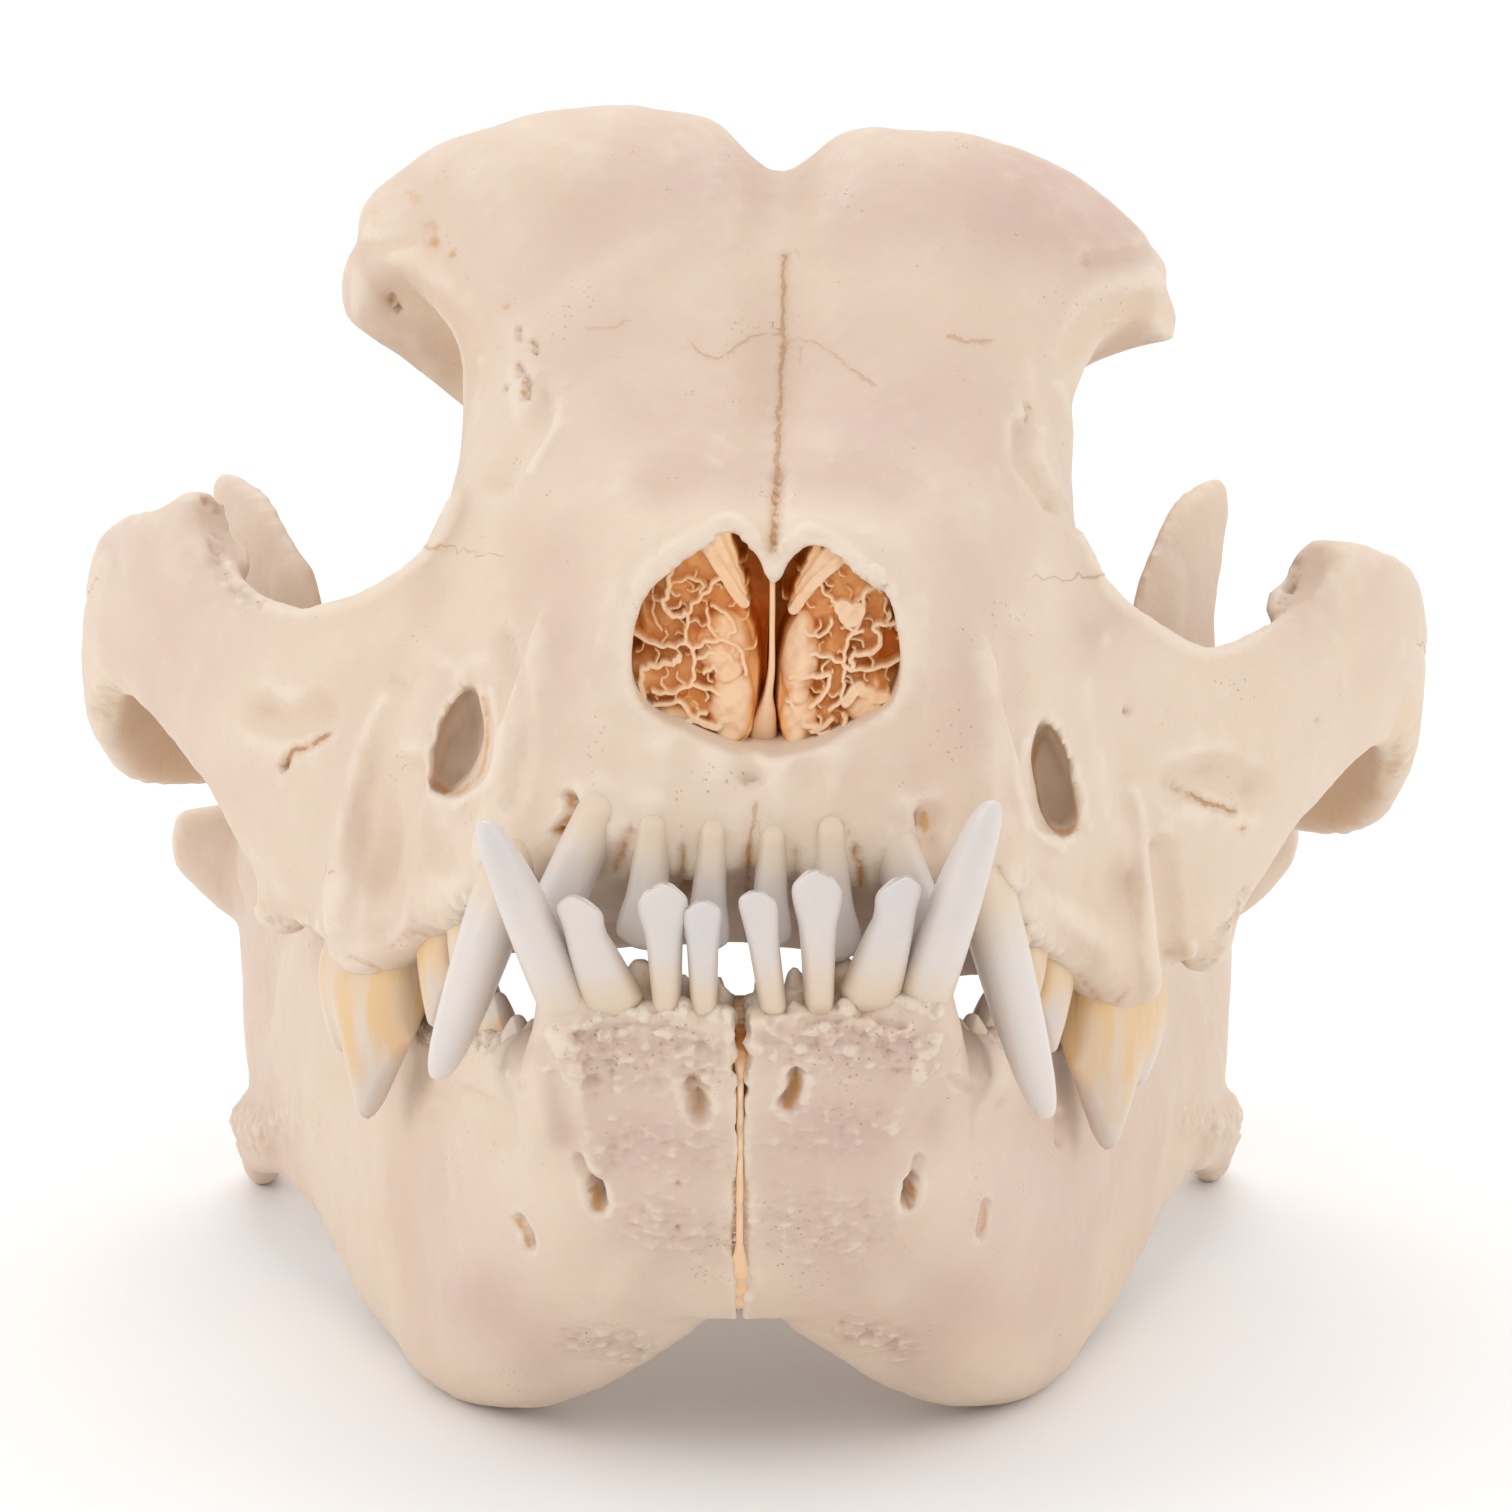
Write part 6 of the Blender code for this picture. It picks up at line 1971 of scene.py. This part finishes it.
SKULL_MARKS: tuple[Mark, ...] = (
    # The forehead and the nose's rim; the pink shift in the hollows beside the nose and the yellow shift
    # under the brows are painted shade.
    *seen(62, (SUTURE, 8, -0.35), ((777, 470, 775, 510, 773, 550), 9, -0.5, 0.7), ((660, 488, 705, 478, 748,
        482), 45, -0.7, 0, 0.5), ((800, 478, 840, 478, 892, 492), 45, -0.7, 0, 0.5), ((640, 584, 655, 562,
        690, 540, 730, 520, 752, 536), 15, 0.5), ((786, 548, 808, 532, 840, 546, 868, 572, 888, 590), 15,
        0.5), ((757, 546), 10, 0.6), ((785, 550), 9, 0.6), ((876, 574), 13, 0.7), ((667, 520, 655, 560),
        4, -0.15, 0.2)),
    *seen(95, ((372, 240, 420, 258, 450, 283, 480, 318, 484, 350), 24, 0.35, 0, -0.3), ((1060, 350, 1075,
        306, 1105, 286, 1144, 280, 1168, 284), 20, 0.4), ((352, 252, 385, 246, 408, 241), 14, -0.4, 0.12),
        ((1150, 252, 1120, 258, 1090, 262), 14, -0.4, 0.1), ((400, 300, 440, 322, 470, 372), 38, -0.6,
        0.1, -0.5), ((1145, 308, 1100, 322, 1072, 352), 28, -0.5, 0.1, -0.5)),
    # Painted shade, pink, on the far side of the dome.
    *seen(110, ((1030, 190, 1100, 225), 90, 0, 0, 1)),
    *seen(95, ((389, 299, 397, 312), 6, -1, 0.9), ((1108, 322, 1120, 320), 4, 0.3), ((414, 198), 24, 0,
        0.5), ((432, 225), 18, -0.2, 0.6), ((435, 243), 14, -0.2, 0.7), ((453, 255), 10, -0.2, 0.8),
        ((465, 279), 10, 0, 0.6), ((507, 306), 13, -0.2, 0.6), ((500, 348), 13, 0, 0.45), ((1078, 240),
        13, 0, 0.5), ((1087, 261), 9, -0.2, 0.5)),
    *seen(62, ((964, 402), 11, 0, 0.3), ((994, 396), 8, 0, 0.4)),
    # Painted shade, pink, on the dome's top, the forehead, the nose's sides, the muzzle's sides and again on
    # the dome's far side.
    *seen(110, ((585, 210, 650, 180, 720, 190), 90, -0.5, 0, 0.6), ((850, 215, 930, 200, 1000, 230), 90,
        -0.4, 0, 0.6)),
    *seen(62, ((640, 400, 700, 420), 60, 0.4, 0, 0.3), ((850, 420, 900, 410), 60, 0.3, 0, 0.3)),
    *seen(110, ((600, 400, 700, 400), 150, 0, 0, 0.45), ((850, 400, 950, 400), 150, 0, 0, 0.5)),
    *seen(62, ((560, 560, 560, 680), 80, 0, 0, 0.6), ((965, 560, 965, 680), 80, 0, 0, 0.6)),
    *seen(120, ((1060, 180, 1100, 215), 80, 0, 0, 0.6)),
    # The small pits, and the hollow before each eye, which has painted shade in it.
    *seen(62, ((534, 342, 536, 352), 5, -0.7, 0.9), ((519, 366, 521, 374), 5, -0.7, 0.9), ((527, 378, 524,
        396), 6, -0.9, 0.9), ((505, 388), 5, -0.7, 0.9), ((518, 328, 519, 338), 4, -0.6, 0.8), ((1027,
        404, 1029, 410), 5, -0.6, 0.8), ((1030, 418), 6, -0.7, 0.9), ((545, 392, 537, 420, 515, 450, 498,
        478), 26, -1.2, 0.1, -0.3), ((553, 384, 556, 414, 548, 440, 532, 470), 11, 0.4), ((1022, 428,
        1024, 459, 1036, 478, 1052, 503), 15, -0.9, 0.3), ((1040, 430, 1045, 470, 1060, 500), 12, 0.4)),
    *seen(80, ((483, 362, 480, 420, 464, 475, 446, 530, 425, 556, 392, 584, 355, 604, 314, 611, 277, 609,
        246, 595, 228, 570), 14, 0.6), ((1056, 385, 1066, 430, 1078, 490, 1092, 540, 1111, 592, 1143, 622,
        1172, 643, 1200, 654, 1233, 648, 1262, 630, 1280, 599), 14, 0.6)),
    # The picture's left cheek and arch; the yellow shift in the hollow over the crack and inside the arch,
    # with the faint stain there, is painted shade.
    *seen(80, ((262, 712, 290, 722, 318, 712), 30, -1.3, 0, -0.3), (LEFT_CRACK, 6, -0.5), ((283, 765), 7,
        -1.4, 1), ((392, 700, 367, 746, 352, 807, 342, 868, 330, 925), 22, 1.2)),
    *seen(62, ((408, 770, 392, 850, 380, 930), 24, -1.1, 0.05)),
    *seen(80, ((331, 872), 5, -0.7, 1), ((336, 1002), 5, -0.7, 0.9), ((258, 912, 280, 925, 305, 925), 13,
        0.7, 0.1, 0, 0.8), ((262, 934, 285, 937, 306, 929), 8, -0.6, 0.4, 0.6)),
    *seen(62, ((484, 700, 487, 730, 480, 772, 456, 793, 436, 785), 8, -0.4, 0.75), ((494, 690, 500, 730,
        493, 778, 460, 806), 9, 0.5), ((470, 700, 446, 735, 430, 775), 7, 0.3), ((505, 640, 518, 700, 520,
        760, 510, 800), 18, -0.7), ((430, 650, 450, 665, 480, 660), 26, 0.5), ((500, 560, 520, 620, 560,
        680), 40, 0.4), ((540, 740, 600, 760), 40, -0.4, 0, 0.2), ((440, 850, 470, 880, 480, 930), 26,
        -0.6)),
    *seen(125, ((100, 560, 98, 620, 104, 680), 18, 0.4), near=60),
    *seen(130, ((125, 700, 150, 740, 190, 780), 45, 0, 0.15, -1), near=80),
    *seen(100, ((215, 542, 220, 565, 238, 592, 258, 604), 10, -0.3, 0.15, 0, 1), ((205, 500, 240, 523), 12,
        -0.2, 0.1, 0, 1), near=50),
    # The picture's right cheek and arch; the yellow shift and faint stain inside the arch are painted shade.
    *seen(80, ((1180, 785, 1215, 775, 1250, 790), 32, -1.4, 0.1), (RIGHT_CRACK, 7, -0.6), ((1243, 829), 7,
        -0.4, 0.7), ((1130, 790, 1141, 830, 1143, 889, 1148, 950, 1158, 1005), 16, 1), ((1162, 850, 1167,
        910, 1172, 960), 22, -1.2, 0.12), ((1192, 946, 1176, 1003, 1164, 1040, 1155, 1080), 8, 0.5),
        ((1286, 852, 1266, 884, 1241, 897, 1233, 921, 1221, 933, 1217, 954, 1196, 970), 10, 0, 0.1, 0,
        0.9)),
    *seen(62, ((1041, 738, 1032, 770, 1042, 818, 1058, 833, 1076, 828), 8, -0.4, 0.75), ((1024, 740, 1020,
        775, 1030, 828, 1058, 847), 9, 0.5), ((1052, 735, 1074, 778, 1088, 828), 9, 0.4), ((1100, 640,
        1085, 700, 1100, 780, 1125, 860), 22, 0.6), ((1010, 640, 1012, 720, 1015, 800), 20, -0.6)),
    *seen(80, ((1318, 721), 6, -0.4, 0.5)),
    *seen(62, ((1040, 560, 1020, 620, 985, 680), 40, 0.4), ((960, 740, 920, 770), 40, -0.4, 0, 0.2), ((1040,
        880, 1060, 930, 1090, 960), 24, -0.6, 0.08)),
    *seen(135, ((1410, 720, 1380, 770, 1340, 815), 45, 0, 0.15, -1), near=80),
    *seen(100, ((1296, 560, 1290, 590, 1268, 622), 10, -0.3, 0.12, 0, 0.9), near=50),
    # The bone round the upper front teeth.
    *seen(62, ((684, 850, 680, 890), 9, -0.8, 0.65), ((630, 830, 616, 870), 9, -0.6, 0.65), ((748, 850, 745,
        895), 8, -0.6, 0.75), ((797, 850, 795, 890), 8, -0.5, 0.5), ((856, 850, 862, 885), 8, -0.8, 0.85),
        ((815, 846, 820, 826, 836, 820, 850, 832), 5, -0.2, 0.7), ((700, 850, 708, 834, 724, 834), 4,
        -0.2, 0.4), ((640, 838, 652, 824, 668, 828), 4, -0.2, 0.4), ((757, 742, 760, 760), 16, 0.3, 0.15),
        ((568, 795, 571, 808, 566, 822, 558, 832), 9, -1.7, 0.9), ((922, 812, 925, 826), 6, -1.1, 1),
        ((930, 815, 925, 845), 22, -1.1, 0.4), ((560, 835, 580, 850, 590, 880), 14, -0.5, 0.25), ((752,
        778), 18, -0.5, 0.15, 0.6, 0.8), (TEETH_SEAM, 5, -0.25, 0.45), ((845, 775), 13, 0, 0.3), ((610,
        780, 650, 800), 24, 0.4), ((870, 785, 900, 800), 24, 0.4), ((997, 866, 1016, 893), 5, -0.2, 0.6),
        ((392, 946, 412, 933, 437, 937), 5, -0.2, 0.5)),
    *seen(80, ((347, 956, 380, 970, 384, 987), 5, -0.2, 0.6), ((1080, 976, 1106, 1007, 1127, 991), 5, -0.2,
        0.6)),
    *seen(62, ((487, 868, 505, 885, 520, 900), 5, -0.2, 0.4)),
)
# The same on both sides, where the photograph shows nothing.
SKULL_MARKS += (
    *both(((38, 80, 111.5, 30, 86, 117.5, 22, 93, 119, 14, 101, 115.5, 7, 109, 113, 2, 117, 111.5), 3, 0.9),
        ((30, 92, 110, 22, 102, 112, 12, 114, 109), 6, -0.7, 0, 0, 0.3)),
    *middle(((0, 112, 113, 0, 128, 110, 0, 146, 106.5, 0, 166, 102), 3, 1.2, 0, 0, 0.6)),
    *both((CROWN_SEAM, 1.6, -0.3), (TEMPLE_SEAM, 1.6, -0.35), ((1, 171, 100.5, 12, 167.5, 96.5, 22, 161,
        86.5, 28.5, 154, 73.5, 31, 146, 60), 3.2, 1, 0, 0, 0.9), ((34, 138, 49), 3.6, -2.8, 0.7), ((31,
        141, 51), 3, -3, 0.9)),
    *middle(((0, 172, 97, 0, 174, 88, 0, 175, 76), 3.2, 1, 0, 0, 0.4)),
    *both(((9, 172, 88, 13, 168, 78), 7, -1.2, 0, 0, 0.3), ((18, 164, 82, 22, 158, 70), 6, -0.8, 0, 0, 0.5),
        ((14, 171, 62), 2.2, -1.6, 0.7), (ARCH_SEAM, 1.6, -0.45), ((58, 62, 50, 62, 72, 57, 66, 82, 61,
        68, 92, 57), 3.4, -0.5, 0.08, 0.3, 0.9), ((68, 118, 56, 60, 126, 52), 5, 0.4, 0, 0, 0.5),
        (CHEEK_SEAM, 1.4, -0.22), ((17.5, 82, 70), 3, -3, 0.8), ((19, 89, 64), 3.2, -3, 0.8), ((25, 74,
        88), 2.2, -2, 0.7), ((26, 77, 94), 1.6, -1.5, 0.7), ((28, 33, 58, 27, 33, 68), 4, 0.6), ((32.5,
        42, 56, 31, 42, 66), 4.4, 0.7), ((30, 37.5, 57, 29, 37.5, 66), 2.4, -0.6), ((36.5, 46, 56, 38, 46,
        62), 3, -0.5), ((26, 24, 57, 28, 31, 54, 32, 40, 50.5, 39, 49, 45, 40, 57, 45), 2.6, 0.3, 0.06, 0,
        1), ((33, 100, 84, 32, 120, 76, 32, 134, 70), 12, -0.6, 0, -0.3, 0.25), ((26, 96, 104, 30, 112,
        96, 31, 128, 94), 5, 0.5)),
    *middle((PALATE_SEAM, 1.6, -0.4)),
    *both(((5, 15, 61, 5.5, 22, 58), 2.6, -3, 0.5), ((10, 46, 49), 2.2, -2.4, 0.6)),
)
SKULL_MARKS += tuple(Mark((place,), radius, -0.8, 0.6) for place, radius in (
    ((36, 44, 74), 0.8), ((40, 60, 66), 0.8), ((-38, 56, 70), 0.8), ((30, 112, 90), 0.9),
    ((-31, 124, 88), 0.9), ((8, 135, 110), 0.8), ((-12, 150, 104), 0.8)))
JAW_MARKS: tuple[Mark, ...] = (
    *both(((49, 97, 46, 51.5, 105, 36, 53, 111, 26), 11, -2, 0.06, 0, 0.3), ((44, 88, 38, 45.5, 91, 50, 45,
        94, 62, 46, 98, 74), 4, 0.9), ((48, 92, 18, 52, 106, 12.5, 54, 120, 10), 4, 0.9, 0, 0, 0.6), ((53,
        124, 8, 53, 132, 4), 6, 0.2, 0.08, 0, 0.9), ((45.5, 112, 30), 3, -2.4, 0.7), ((24, 26, 44, 27, 36,
        41.5, 31, 46, 39.5, 36, 60, 38, 42, 76, 38), 3, 0.3, 0.05, 0, 1), ((36, 50, 22, 41, 66, 20, 46,
        82, 20), 9, 0.5), ((38, 58, 4, 44, 78, 6, 50, 96, 9), 4, -0.3, 0, 0, 0.4)),
    # Under the chin's rim the grooves' stain and the pink shift are painted shade; the pink shift beside the
    # plate's edge, over the chin and on the sides and lower edges of both halves is painted shade as well.
    *seen(62, ((557, 1030, 580, 1026, 602, 1016, 625, 1010, 652, 1009, 672, 1005, 697, 1010, 726, 1014), 14,
        0.7, 0, 0, 1), ((614, 1026, 630, 1022, 648, 1025, 666, 1021), 6, -0.5, 0.2), ((678, 1029, 692,
        1032, 706, 1034), 7, -0.5, 0.25), ((690, 1026, 696, 1028), 4, -0.4, 0.4), ((748, 1003, 773, 1000,
        803, 994, 830, 1002, 863, 1003, 899, 1002, 934, 1010), 14, 0.6, 0, 0, 1), ((800, 1020, 820, 1016,
        838, 1018, 862, 1013), 6, -0.5, 0.2), ((880, 1018, 905, 1024), 6, -0.4, 0.2), ((805, 1022), 4,
        -0.5, 0.5), ((851, 1008), 4, -0.5, 0.4), ((764, 1002), 4, -0.5, 0.5), ((784, 1010), 5, -0.4, 0.3),
        ((645, 972, 647, 992), 12, 0, 0.5, 0.2), ((838, 972, 836, 992), 12, 0, 0.5, 0.2), ((796, 972, 800,
        988), 10, 0, 0.4), ((598, 1014), 4, -0.2, 0.7), ((580, 1035, 640, 1040, 710, 1045), 22, 0, 0, 0.5,
        1), ((770, 1035, 850, 1035, 925, 1042), 22, 0, 0, 0.5, 1), ((590, 1060, 650, 1060, 710, 1060), 60,
        -0.3, 0, 0.4, 0.8), ((610, 1140, 700, 1150), 60, 0, 0, 0.5, 0.5), ((640, 1120, 660, 1240), 110, 0,
        0, 0.5), ((840, 1120, 840, 1240), 110, 0, 0, 0.5), ((430, 1200, 480, 1280), 110, 0, 0, 0.4),
        ((1060, 1180, 1030, 1270), 110, 0, 0, 0.5), ((640, 1220, 715, 1240), 50, 0, 0, 0.3, 0.6), ((780,
        1045, 850, 1045, 910, 1055), 55, -0.3, 0, 0.4, 0.8), ((790, 1130, 870, 1130), 60, 0, 0, 0.5, 0.5),
        ((780, 1220, 860, 1230), 60, 0, 0, 0.3, 0.6), ((557, 1040, 568, 1061, 580, 1098, 591, 1137, 594,
        1165), 18, 0.8), ((540, 1050, 550, 1080, 558, 1110, 564, 1140), 20, -0.6, 0.1, 0.5), ((932, 1040,
        920, 1063, 903, 1096, 887, 1129), 18, 0.8), ((950, 1050, 946, 1080, 936, 1110, 924, 1138), 20,
        -0.6, 0.1), ((692, 1090, 698, 1104, 699, 1112), 17, -2.2, 0.5), ((700, 1105), 5, -0.8, 1), ((796,
        1078, 794, 1094, 787, 1104), 12, -2.2, 0.9), ((594, 1188, 598, 1206), 12, -3.2, 1), ((580, 1160,
        590, 1182), 11, -1, 0.2), ((913, 1184, 909, 1204), 10, -3.2, 1), ((919, 1160, 915, 1180), 9, -0.8,
        0.2), ((518, 1220, 526, 1234, 529, 1246), 8, -1.6, 0.7), ((987, 1204, 984, 1220, 982, 1234), 7,
        -1.3, 0.6), ((678, 1183), 5, -0.5, 0.8), ((678, 1228), 5, -0.5, 0.8), ((714, 1074), 5, -0.5, 0.8),
        ((739, 1000, 739, 1040, 741, 1090), 13, -0.3, 0.3), ((741, 1187, 741, 1240, 746, 1290), 16, -0.6,
        0.3), ((748, 1297), 9, 0.7), ((442, 1080), 11, 0.5), ((504, 1074), 11, 0.5), ((546, 1070), 11,
        0.5), ((464, 1090, 487, 1102), 9, -0.5, 0.3), ((521, 1085), 9, -0.5, 0.35), ((939, 1066), 9, 0.4),
        ((956, 1080, 972, 1088), 9, -0.5, 0.35), ((989, 1076), 9, 0.5), ((999, 1106), 10, -0.4, 0.3),
        ((580, 1340, 640, 1350), 30, 0, 0, 0.6, 0.8), ((850, 1330, 900, 1345), 30, 0, 0, 0.6, 0.8), ((437,
        1110, 440, 1160, 443, 1200), 14, -0.4), ((1060, 1116, 1060, 1142), 7, -0.7, 0.3)),
    # Painted shade, pink, in the hollow near the picture's right angle and on the lower parts of both
    # halves.
    *seen(140, ((1225, 1165), 18, -0.6, 0.1, 0.6)),
    *seen(62, ((660, 1180, 650, 1240, 620, 1290), 30, 0.5), ((830, 1180, 850, 1240, 880, 1290), 30, 0.5),
        ((700, 1160, 720, 1260), 26, -0.4), ((770, 1160, 770, 1260), 26, -0.4), ((480, 1300, 540, 1350),
        60, 0, 0, 0.7), ((960, 1300, 920, 1350), 60, 0, 0, 0.7)),
)
SEAMS: tuple[Mark, ...] = (
    *seen(62, (SUTURE, 22, 0, 0.6), ((687, 338, 700, 353, 715, 359, 727, 355, 742, 344, 758, 336, 780, 335),
        14, 0, 0.35), ((838, 358, 859, 375, 876, 386), 14, 0, 0.4), ((784, 340, 812, 342, 838, 358), 14,
        0, 0.28), ((948, 337, 970, 341, 993, 342), 14, 0, 0.45), ((582, 330, 605, 328, 633, 320), 14, 0,
        0.28)),
    *seen(80, (LEFT_CRACK, 14, 0, 0.9), (RIGHT_CRACK, 14, 0, 0.8)),
    *seen(62, (TEETH_SEAM, 12, 0, 0.5)),
    *both((CROWN_SEAM, 3.5, 0, 0.8), (TEMPLE_SEAM, 3, 0, 0.7), (ARCH_SEAM, 3, 0, 0.9), (CHEEK_SEAM, 3, 0,
        0.45)),
    *middle((PALATE_SEAM, 3, 0, 0.8)),
)


# How far off a vertex is where no seam is near, in millimetres.
FAR_OFF = 9.0


@dataclass
class Detail:
    """The fine shape of a bone, and what its finish reads at each vertex."""

    surface: Surface
    marks: tuple[Mark, ...]
    seams: tuple[Mark, ...] = ()
    # The size and height of the bumps all over, and of those where the bone is rough.
    ripple: Rows = ((11, 0.12), (3.6, 0.035), (1.4, 0.012))
    coarse: tuple[float, float] = (2.4, 0.34)
    crumbly: tuple[float, float] = (1.2, 0.22)

    def sum(self, value: str) -> np.ndarray:
        """Gather what the marks give at each vertex.

        Args:
            value: "stain" or "rough", of which the largest counts, or "tone", which adds up.

        Returns:
            The values.
        """
        seen = self.surface.look()
        total = np.zeros(len(self.surface.places))
        for item in self.marks:
            amount = getattr(item, value)
            if amount:
                near, weight = self.surface.weight(item, seen)[:2]
                total[near] = (total[near] + amount * weight if value == "tone"
                               else np.maximum(total[near], amount * weight))
        return total

    def own_rough(self) -> np.ndarray:
        """How coarse the bone is away from the marks: in patches, and more so at the back.

        Returns:
            The roughness at each vertex.
        """
        places = self.surface.places
        back = smooth((places[:, 1] - 100.0) / 40.0)
        patches = smooth(waves(places, 16.0, 41) * 1.4 - 0.2)
        return np.clip(0.12 + 0.5 * patches * (0.4 + 0.6 * back), 0.0, 1.0)

    def shape(self) -> None:
        """Sculpt the marks and the uneven, rough surface."""
        for seed, (size, height) in enumerate(self.ripple):
            self.surface.roughen(size, height, 50 + seed)
        self.surface.mark(self.marks)
        coarse = self.sum("rough")
        self.surface.roughen(*self.coarse, 60, coarse)
        self.surface.roughen(*self.crumbly, 61, coarse + 0.4 * self.own_rough() ** 2)

    def seam_lines(self) -> np.ndarray:
        """Measure to the nearest seam.

        Returns:
            For each vertex the signed distance in millimetres, the seam's strength and 0.
        """
        seen = self.surface.look()
        lines = np.zeros((len(seen[0]), 3))
        lines[:, 0] = FAR_OFF
        for item in self.seams:
            near, weight, signed, beyond = self.surface.weight(item, seen)
            better = np.abs(signed) < np.abs(lines[near, 0])
            lines[near[better], 0] = signed[better]
            lines[near[better], 1] = ((1.0 - beyond) * item.stain * smooth(weight * 2.5))[better]
        return lines

    def store(self) -> None:
        """Keep the seams, stains, roughness, tone and hollows for the finish, which paints shade and
        highlights from the last two.
        """
        self.surface.store("seam", self.seam_lines())
        self.surface.store("stain", self.sum("stain"))
        self.surface.store("rough", np.maximum(self.sum("rough"), self.own_rough()))
        self.surface.store("tone", np.clip(self.sum("tone"), -1.0, 1.0))
        self.surface.store("hollow", self.surface.hollows())


# Everything together.

def add_bone(piece: Cranium | LowerJaw, detail: Detail, name: str, material_made: bpy.types.Material,
             replaced: tuple[str, ...]) -> None:
    """Sculpt, thin out, dress and finish one bone.

    Args:
        piece: The bone's sizes.
        detail: Its surface with its marks.
        name: The finished piece's name.
        material_made: Its finish.
        replaced: The solids that it stands for.
    """
    log.info("%s: %d vertices", name, len(detail.surface.places))
    detail.shape()
    detail.surface.write()
    detail.surface.thin_out(piece.triangles)
    detail.store()
    detail.surface.finish(name, material_made, Slot.BONE, replaced)


def main() -> None:
    """Build every piece, dress it and light it."""
    logging.basicConfig(level=logging.INFO, format="%(name)s: %(message)s")
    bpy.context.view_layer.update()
    grain = grain_group()
    bone = BoneFinish().make(grain)
    enamel = EnamelFinish().make(grain)
    scroll = ScrollFinish().make(grain)
    cranium = Cranium()
    add_bone(cranium, Detail(cranium.build(), SKULL_MARKS, SEAMS), "cranium", bone,
             ("braincase", "upper_jaw", "forehead", "zygomatic_arch_left", "zygomatic_arch_right"))
    for side in Side:
        label = side.name.lower()
        jaw = LowerJaw(side)
        add_bone(jaw, Detail(jaw.build(), JAW_MARKS), f"jaw_{label}", bone, (f"lower_jaw_{label}",))
        for row in TOOTH_ROWS:
            row.dress(side, enamel)
        log.info("scrolls, %s", label)
        Scrolls(side).build().finish(f"scrolls_{label}", scroll, Slot.NOSE_BONE, (f"turbinates_{label}",))
    log.info("nose wall and chin seam")
    NoseWall().build().finish("nose_wall", scroll, Slot.NOSE_BONE, ("nasal_septum",))
    ChinSeam().build().finish("chin_seam", scroll, Slot.NOSE_BONE)
    Studio().build()
    VIEW.camera()


if __name__ == "__main__":
    main()
